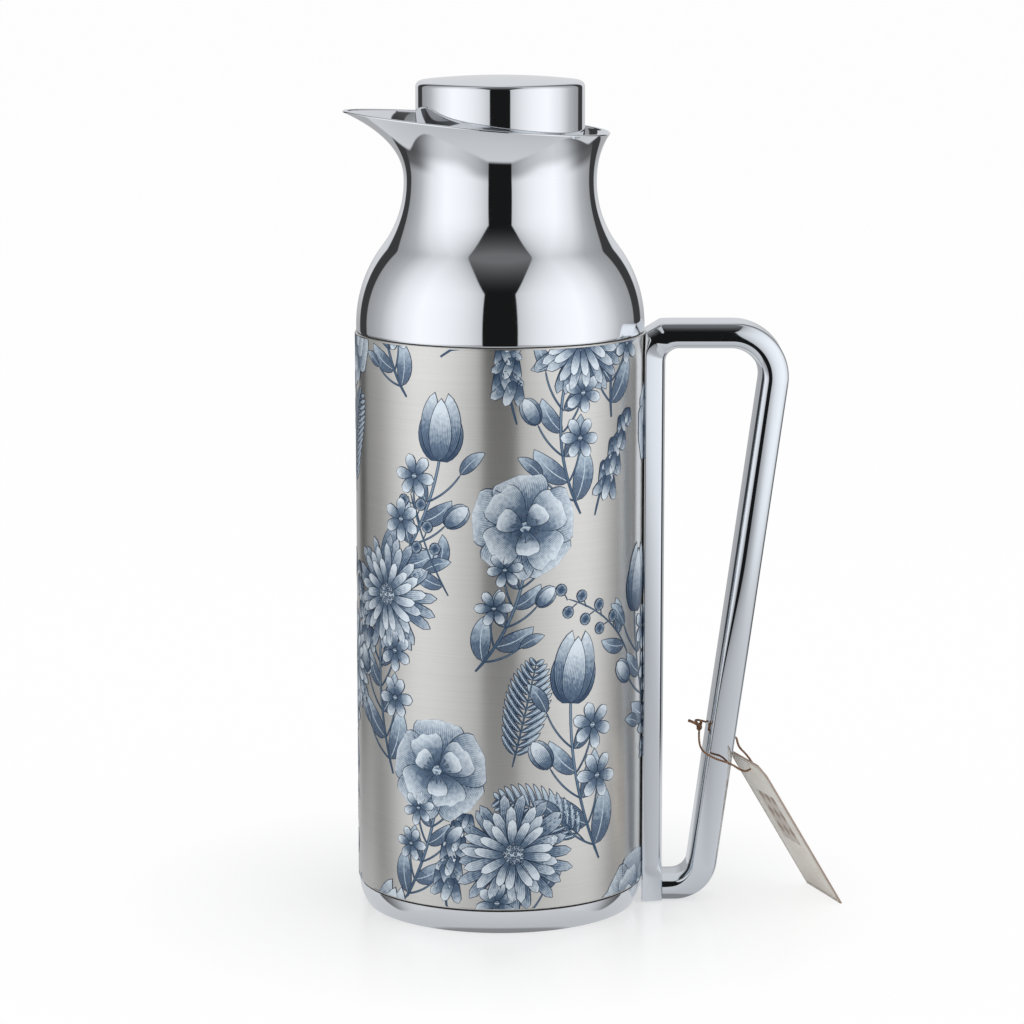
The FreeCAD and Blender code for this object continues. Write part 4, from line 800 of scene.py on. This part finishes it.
def star(middle, size, facing):
    # six broad petals with a fine line between each two
    for i in range(6):
        angle = facing + 60 * i + draw.uniform(-4, 4)
        blade("petal", polar(middle, angle, size * 0.08), angle, size * draw.uniform(0.88, 1.0), size * 0.56,
              0, (0.75, 0.5), 7 + 0.1 * (i % 2), 0.25, 4, 8)
        angle += 30
        blade("stem", polar(middle, angle, size * 0.1), angle, size * 0.36, 0.25, 0, (0.05, 0.05), 9)
    disc("leaf", middle, size * 0.15, 10, 0.6)


def bud(point, heading, size):
    # three closed petals between two small leaves
    for turn, layer, tone in ((-20, 6, 0.6), (20, 6.1, 0.5), (0, 7, 0.1)):
        blade("petal", point, heading + turn, size, size * 0.5, -turn * 2, (0.55, 0.6), layer, tone, 5)
    for turn in (-38, 38):
        blade("leaf", point, heading + turn, size * 0.5, size * 0.2, -turn, (0.4, 0.8), 8, 0.6, 2)


def aster(middle, size, facing):
    # three rings of narrow petals round a spotted eye
    for ring, count, reach, wide in ((0, 21, 1.0, 0.2), (1, 17, 0.8, 0.19), (2, 13, 0.58, 0.17)):
        for i in range(count):
            angle = facing + 360 * i / count + 11 * ring + draw.uniform(-4, 4)
            grow = size * reach * draw.uniform(0.9, 1.06)
            bend, tone = draw.uniform(-22, 22), 0.75 - 0.3 * ring + draw.uniform(-0.1, 0.1)
            blade("petal", polar(middle, angle, size * 0.12), angle, grow * 0.88, size * wide, bend,
                  (0.45, 0.32), 6 + ring + 0.1 * (i % 3), tone, 3)
    disc("leaf", middle, size * 0.2, 10, 0.3)
    for i in range(20):
        spot = polar(middle, 137.5 * i, size * 0.18 * math.sqrt((i + 0.5) / 20))
        disc("petal", spot, size * 0.028, 11, 0.2, 0)


def poppy(middle, size, facing):
    # three rings of wide petals and a ring of stamens
    for ring, count, reach in ((0, 5, 1.0), (1, 4, 0.78), (2, 3, 0.5)):
        for i in range(count):
            angle = facing + 360 * i / count + 31 * ring + draw.uniform(-6, 6)
            grow = size * reach * draw.uniform(0.94, 1.06)
            blade("petal", polar(middle, angle, size * 0.04), angle, grow, grow * (1.15 - 0.1 * ring),
                  draw.uniform(-12, 12), (0.8, 0.3), 6 + ring + 0.1 * i, 0.55 - 0.15 * ring, 13, 12)
    disc("leaf", middle, size * 0.12, 10, 0.3)
    for i in range(20):
        angle = 18 * i + draw.uniform(-5, 5)
        long = size * draw.uniform(0.1, 0.2)
        tip = blade("stem", polar(middle, angle, size * 0.1), angle, long, 0.25, 0, (0.05, 0.05), 10)
        disc("leaf", tip, size * 0.02, 11, 0.1, 0)


def tulip(middle, size, facing):
    # five petals from one point that bend back together
    start = polar(middle, facing, -size * 0.5)
    for turn, long, wide, layer, tone in (
        (46, 0.9, 0.34, 6, 0.8), (-46, 0.9, 0.34, 6.1, 0.75),
        (26, 1.12, 0.38, 7, 0.45), (-26, 1.12, 0.38, 7.2, 0.4), (0, 1.0, 0.4, 8, 0.1),
    ):
        blade("petal", start, facing + turn, size * long, size * wide, -turn * 1.7, (0.55, 0.75), layer, tone,
              7, 12)


def bells(start, heading, size, bend):
    # hanging bells on short stalks to either side of a stem
    stem(start, heading, size, bend, 0.9)
    for i, share in enumerate(np.linspace(0.3, 1.0, 7)):
        point, way = along(start, heading, size, bend, share)
        sign = 1 if i % 2 else -1
        grow = size * 0.24 * (1.2 - 0.55 * share)
        tip = blade("stem", point, way + sign * 60, grow * 0.5, 0.5, sign * -70, (0.05, 0.05), 4)
        lean = -90 + sign * 20
        for off, layer in ((-0.28, 6), (0.28, 6.2), (0.0, 7)):
            blade("petal", tip + (off * grow * 0.45, 0), lean + off * 60, grow, grow * 0.42, off * 95,
                  (0.3, 0.3), layer, 0.6 if off else 0.25, 5)


def fern(start, heading, size, bend):
    # pairs of narrow leaves, longest half way up
    stem(start, heading, size, bend, 0.7)
    for i, share in enumerate(np.linspace(0.12, 0.97, 13)):
        point, way = along(start, heading, size, bend, share)
        grow = size * 0.27 * (math.sin(math.pi * (0.12 + 0.86 * share)) ** 0.8) + 1.5
        for sign in (1, -1):
            blade("leaf", point, way + sign * 58, grow, 2.3, -sign * 26, (0.4, 0.6), 2 + 0.05 * (i % 2),
                  0.4 + 0.25 * sign, 2)


def berries(start, heading, size, bend):
    # berries on stalks to either side of a stem with two leaves
    stem(start, heading, size, bend, 0.7)
    for i, share in enumerate(np.linspace(0.35, 1.0, 7)):
        point, way = along(start, heading, size, bend, share)
        tip = stem(point, way + (50 if i % 2 else -50), size * 0.12, 20, 0.45)
        disc("petal", tip, size * 0.06, 6 + 0.1 * i, 0.8, 4)
    for share, sign in ((0.1, 1), (0.25, -1)):
        point, way = along(start, heading, size, bend, share)
        leaf(point, way + sign * 55, size * 0.36, -sign * 40)


def spray(kind, s, z, size, heading, bend):
    # a flower at the end of a long bent stem, with leaves and twigs of small stars and buds along it
    long = size * 3.0
    start = np.array([s, z]) - along((0, 0), heading, long, bend, 1.0)[0]
    stem(start, heading, long, bend, 1.2)
    sign = 1 if bend > 0 else -1
    for i, share in enumerate((0.08, 0.2, 0.34, 0.48, 0.6)):
        point, way = along(start, heading, long, bend, share)
        leaf(point, way + sign * 52, size * (0.95 - 0.08 * i), -sign * 45, 2 + 0.1 * i)
        sign = -sign
        tip = stem(point, way + sign * 48, size * 0.75, -sign * 35, 0.8)
        if i % 2:
            star(tip, size * 0.36, draw.uniform(0, 60))
        elif i == 2:
            bud(tip, way + sign * 20, size * 0.5)
        else:
            leaf(tip, way + sign * 15, size * 0.55, sign * 30, 2.6)
    {"aster": aster, "poppy": poppy, "tulip": tulip}[kind]((s, z), size, heading + bend)


def plantSleeve():
    # staggered columns of sprays round the sleeve, with sprigs between them
    kinds, shift, stagger = list(bloom["sizes"]), bloom["shift"], bloom["stagger"]
    pitch = 2 * math.pi * sleeve["radius"] / bloom["columns"]
    rise = (bloom["top"] - bloom["bottom"]) / (bloom["rows"] - 0.6)
    for column in range(bloom["columns"]):
        for row in range(bloom["rows"] + 1):
            s = bloom["start"] + column * pitch + draw.uniform(-shift, shift)
            s += stagger if row % 2 else -stagger
            z = bloom["bottom"] + (row - 0.1 + 0.5 * (column % 2)) * rise + draw.uniform(-shift, shift)
            kind = kinds[(2 * column + row) % 3]
            bend = draw.uniform(30, 60) * (1 if (row + column) % 2 else -1)
            size = bloom["sizes"][kind] * draw.uniform(0.95, 1.05)
            spray(kind, s, z, size, 90 - bend / 2 + draw.uniform(-25, 25), bend)
            middle = (s + pitch * 0.5, z + rise * 0.04)
            sprig = (fern, berries, bells)[(column + row) % 3]
            sprig(middle, 90 + draw.uniform(-50, 50), bloom["sprigSize"], draw.uniform(-50, 50))


def printPiece(name, kind, material):
    # each patch lies on the sleeve, cut off at the hems, with a back face just inside the wall
    r = sleeve["radius"]
    grids, values = [], {"edge": [], "lines": [], "along": [], "tone": []}
    for order, patch in enumerate(patches[kind]):
        z = np.clip(patch["z"], bloom["bottom"], bloom["top"])
        if z.max() - z.min() < bloom["leastHeight"]:
            continue
        angle = patch["s"] / r
        top = r + bloom["clear"] + bloom["layerStep"] * patch["layer"] + bloom["orderStep"] * order
        front, back = (np.stack([reach * np.sin(angle), -reach * np.cos(angle), z], -1)
                       for reach in (top, r - bloom["inset"]))
        grids.append(np.concatenate([front, back[:, ::-1], front[:, :1]], 1))
        for label, lists in values.items():
            value = patch[label]
            lists.append(np.concatenate([value, value[:, ::-1], value[:, :1]], 1))
    newPiece(name, grids, material, "jug", values=values, sharp=60, weld=0.0002)


# Ceramic-fired screen inks on steel: thin, so a little of the metal's shine comes through; drawn like an
# engraving, with a dark outline about 0.3 mm wide and hatching along each petal, or pale ribs on a leaf.
def screenInk(name, darkHex, midHex, paleHex, lineHex, veins):
    material, node, place = newMaterial(name)
    edge, lines, run, tone = (node("Attribute", output="Fac", attribute_name=a)
                              for a in ("edge", "lines", "along", "tone"))
    grain = node("TexNoise", {"Vector": place, "Scale": every(1.4286), "Detail": 3})
    light = node("Math", [tone, -0.6, run], operation="MULTIPLY_ADD")
    light = node("Math", [light, node("MapRange", [grain, 0.3, 0.7, -0.12, 0.12])], operation="ADD")
    toMid, toPale = (node("MapRange", [light, *ends]) for ends in ((-0.2, 0.35), (0.2, 0.7)))
    fill = node("Mix", {0: toMid, 6: linear(darkHex), 7: linear(midHex)}, 2, data_type="RGBA")
    fill = node("Mix", {0: toPale, 6: fill, 7: linear(paleHex)}, 2, data_type="RGBA")
    ink = node("MapRange", [edge, bloom["outline"] * 0.55, bloom["outline"] * 1.2, 1.0, 0.0])
    if veins:
        aside = node("Math", [lines], operation="ABSOLUTE")
        slant = node("Math", [run, 9.0, aside], operation="MULTIPLY_ADD")
        side = node("Math", [slant, 0.5], operation="PINGPONG")
        rib = node("Math", [aside, 0.35], operation="LESS_THAN")
        pale = node("Math", [node("MapRange", [side, 0.36, 0.475, 0.0, 0.75]), rib], operation="MAXIMUM")
        fill = node("Mix", {0: pale, 6: fill, 7: linear(paleHex)}, 2, data_type="RGBA")
    else:
        ridge = node("MapRange", [node("Math", [lines, 0.5], operation="PINGPONG"), 0.25, 0.45])
        deep = node("Math", [tone, -0.5, run], operation="MULTIPLY_ADD")
        fade = node("MapRange", [deep, 0.1, 0.8, 1.0, 0.0])
        hatch = node("Math", [ridge, fade], operation="MULTIPLY")
        ink = node("Math", [ink, hatch], operation="MAXIMUM")
    node("BsdfPrincipled", {
        "Base Color": node("Mix", {0: ink, 6: fill, 7: linear(lineHex)}, 2, data_type="RGBA"),
        "Metallic": 0.4, "Roughness": node("MapRange", [grain, 0.3, 0.7, 0.3, 0.44]),
    })
    return material


plantSleeve()
petalInk = screenInk("screenInkPetals", "#3B5472", "#7B92AA", "#E1ECF5", "#182C45", False)
leafInk = screenInk("screenInkLeaves", "#263F5E", "#466281", "#C5D5E2", "#182C45", True)
stemInk = screenInk("screenInkStems", "#3F5876", "#566F8B", "#839AB0", "#324B64", False)
printPiece("printPetals", "petal", petalInk)
printPiece("printLeaves", "leaf", leafInk)
printPiece("printStems", "stem", stemInk)
print("print laid on the sleeve")

studio = {
    "floorHalf": 14.0, "floorHex": "#FDFDFD", "floorRough": 0.22, "gloss": (0.05, 0.24),
    "whiteReach": (0.055, 0.15), "floorWhite": (0.5, 0.95), "worldLight": 0.72,
    "domeRadius": 0.8, "domeMiddle": 0.15, "panelHex": "#F8FAFD", "panelLight": 1.22,
    "frontHalf": 13.5, "widenFrom": 37.0, "widenTo": 64.2, "wide": 48.2, "panelEnd": 130.0, "gapEnd": 147.0,
    "slotLight": (0.011, 0.16), "gapLight": (0.05, 0.2), "backLight": (0.46, 0.28),
    "slotDim": 0.48, "slotReach": 22, "highDim": 0.38, "lowDim": 0.36, "sideDim": 0.65, "footDim": 0.25,
    "tableLight": 0.7, "tableShadowDim": (0.12, 0.3), "tableFront": -20.0, "tableSlope": 0.28,
    "falloff": ((0, 66, 88, 102, 107, 118, 128, 180), (1.0, 1.0, 0.78, 0.53, 0.44, 0.35, 0.3, 0.3)),
}


# Reflections only: two tall softboxes with a dark slot between them in front that widens towards the ceiling,
# narrow dark gaps behind them, a pale wall at the back and a grey table below, worked out from the degrees
# aside and up of each direction and kept as one value on each point. The table darkens straight down towards
# the jug's foot: painted shadow of the jug, seen only in reflections.
def studioGlow(aside, up):
    def beyond(edge, value, width, under, over):
        return under + (over - under) * ramp(edge - width / 2, edge + width / 2, value)

    s = studio
    rise = ramp(s["widenFrom"], s["widenTo"], up)
    inner = s["frontHalf"] + (0.65 * rise + 0.35 * rise**4) * (s["wide"] - s["frontHalf"])
    beside = np.exp(-np.maximum(0, aside - inner) / s["slotReach"])
    sideways = (1 - s["slotDim"] * beside) * np.interp(aside, *s["falloff"])
    fade = smoothStep(0, 11, -up - 2 - 9 * smoothStep(15, 55, aside))
    upright = (1 - s["highDim"] * ramp(25, 67, up) ** 1.6) * (1 - s["lowDim"] * fade)
    low = 1 - (s["sideDim"] * smoothStep(75, 115, aside) + s["footDim"] * beside) * smoothStep(4, 12, -up)
    panel = s["panelLight"] * sideways * upright * low
    slot, gap, back = (s[label][0] + s[label][1] * share for label, share in (
        ("slotLight", rise**1.8), ("gapLight", ramp(50, 90, up)), ("backLight", ramp(-2, 10, up))))
    glow = beyond(inner, aside, 1.0, slot, panel)
    glow = beyond(s["panelEnd"], aside, 1.5, glow, gap)
    glow = beyond(s["gapEnd"], aside, 2.0, glow, back)
    reach = np.clip(aside - s["frontHalf"], 0, 75) * (1 - smoothStep(95, 125, aside))
    # painted shadow: the table grows darker going down towards the jug's foot
    near, under = s["tableShadowDim"]
    table = s["tableLight"] - near * ramp(22, 58, -up) - under * smoothStep(62, 68, -up)
    return beyond(s["tableFront"] - s["tableSlope"] * reach, up, 2.2, table, glow)


def addFloor():
    # white acrylic sheet: glossy close to the jug, so that its foot is faintly mirrored, and dull further
    # out; the camera sees it part lit and part plain white, more white further out
    half = studio["floorHalf"]
    corners = [(-half, -half, 0), (half, -half, 0), (half, half, 0), (-half, half, 0)]
    mesh = bpy.data.meshes.new("floor")
    mesh.from_pydata(corners, [], [(0, 1, 2, 3)])
    material, node, place = newMaterial("whiteAcrylicSheet")
    away = node("VectorMath", [place], 1, operation="LENGTH")
    sheet = node("BsdfPrincipled", {
        "Base Color": linear(studio["floorHex"]), "Roughness": studio["floorRough"],
        "Specular IOR Level": node("MapRange", [away, *studio["gloss"], 1.0, 0.0]),
    })
    seen = node("LightPath", output="Is Camera Ray")
    level = node("MapRange", [away, *studio["whiteReach"], *studio["floorWhite"]])
    share = node("Math", [seen, level], operation="MULTIPLY")
    white = node("Emission", {"Color": linear("#FFFFFF")})
    node("OutputMaterial", [node("MixShader", [share, sheet, white])])
    mesh.materials.append(material)
    floor = newObject("floor", mesh)
    floor.visible_glossy = False
    return floor


def addDome():
    aside = np.linspace(-180, 180, 721)[None, :]
    up = np.linspace(-90, 90, 271)[:, None]
    a, e = np.radians(aside), np.radians(up)
    ball = np.stack(np.broadcast_arrays(np.cos(e) * np.sin(a), -np.cos(e) * np.cos(a), np.sin(e) + 0 * a), -1)
    points, faces = joinGrids([ball * studio["domeRadius"]])
    mesh = bpy.data.meshes.new("reflectionDome")
    mesh.from_pydata((points + (0, 0, studio["domeMiddle"])).tolist(), [], faces.tolist())
    glow = studioGlow(np.abs(aside) + 0 * up, up + 0 * aside).astype(np.float32)
    mesh.attributes.new("glow", "FLOAT", "POINT").data.foreach_set("value", glow.ravel())
    material, node, _ = newMaterial("softboxCloth")
    strength = node("Attribute", output="Fac", attribute_name="glow")
    node("OutputMaterial", [node("Emission", {"Color": linear(studio["panelHex"]), "Strength": strength})])
    mesh.materials.append(material)
    dome = newObject("reflectionDome", mesh)
    dome.visible_camera = dome.visible_diffuse = dome.visible_shadow = dome.visible_volume_scatter = False
    return dome


def addWorld():
    # plain white to the camera and to mirrors, a little dimmer as a light
    world = bpy.data.worlds.new("studio")
    bpy.context.scene.world = world
    world.use_nodes = True
    node = partial(addNode, world)
    camera, glossy, through = (node("LightPath", output=f"Is {kind} Ray")
                               for kind in ("Camera", "Glossy", "Transmission"))
    direct = node("Math", [camera, glossy], operation="MAXIMUM")
    direct = node("Math", [direct, through], operation="MAXIMUM")
    level = node("MapRange", [direct, 0.0, 1.0, studio["worldLight"], 1.0])
    node("OutputWorld", [node("Background", {"Color": linear("#FFFFFF"), "Strength": level})])


def addLamp(name, place, aim, size, power):
    data = bpy.data.lights.new(name, "AREA")
    data.energy = power
    data.size = size
    lamp = newObject(name, data)
    lamp.location = place
    x, y, z = np.array(aim) - np.array(place)
    lamp.rotation_euler = (math.atan2(math.hypot(x, y), -z), 0, math.atan2(y, x) - math.pi / 2)
    lamp.visible_glossy = False


addFloor()
addDome()
addWorld()
addLamp("softboxLeft", (-1.1, -0.9, 1.0), (0, 0, 0.15), 0.9, 3.0)
addLamp("softboxRight", (1.1, -0.9, 1.0), (0, 0, 0.15), 0.9, 3.0)
addLamp("softboxTop", (0, 0.2, 1.8), (0, 0, 0.1), 1.4, 6.0)
bpy.context.scene.view_settings.view_transform = "Standard"
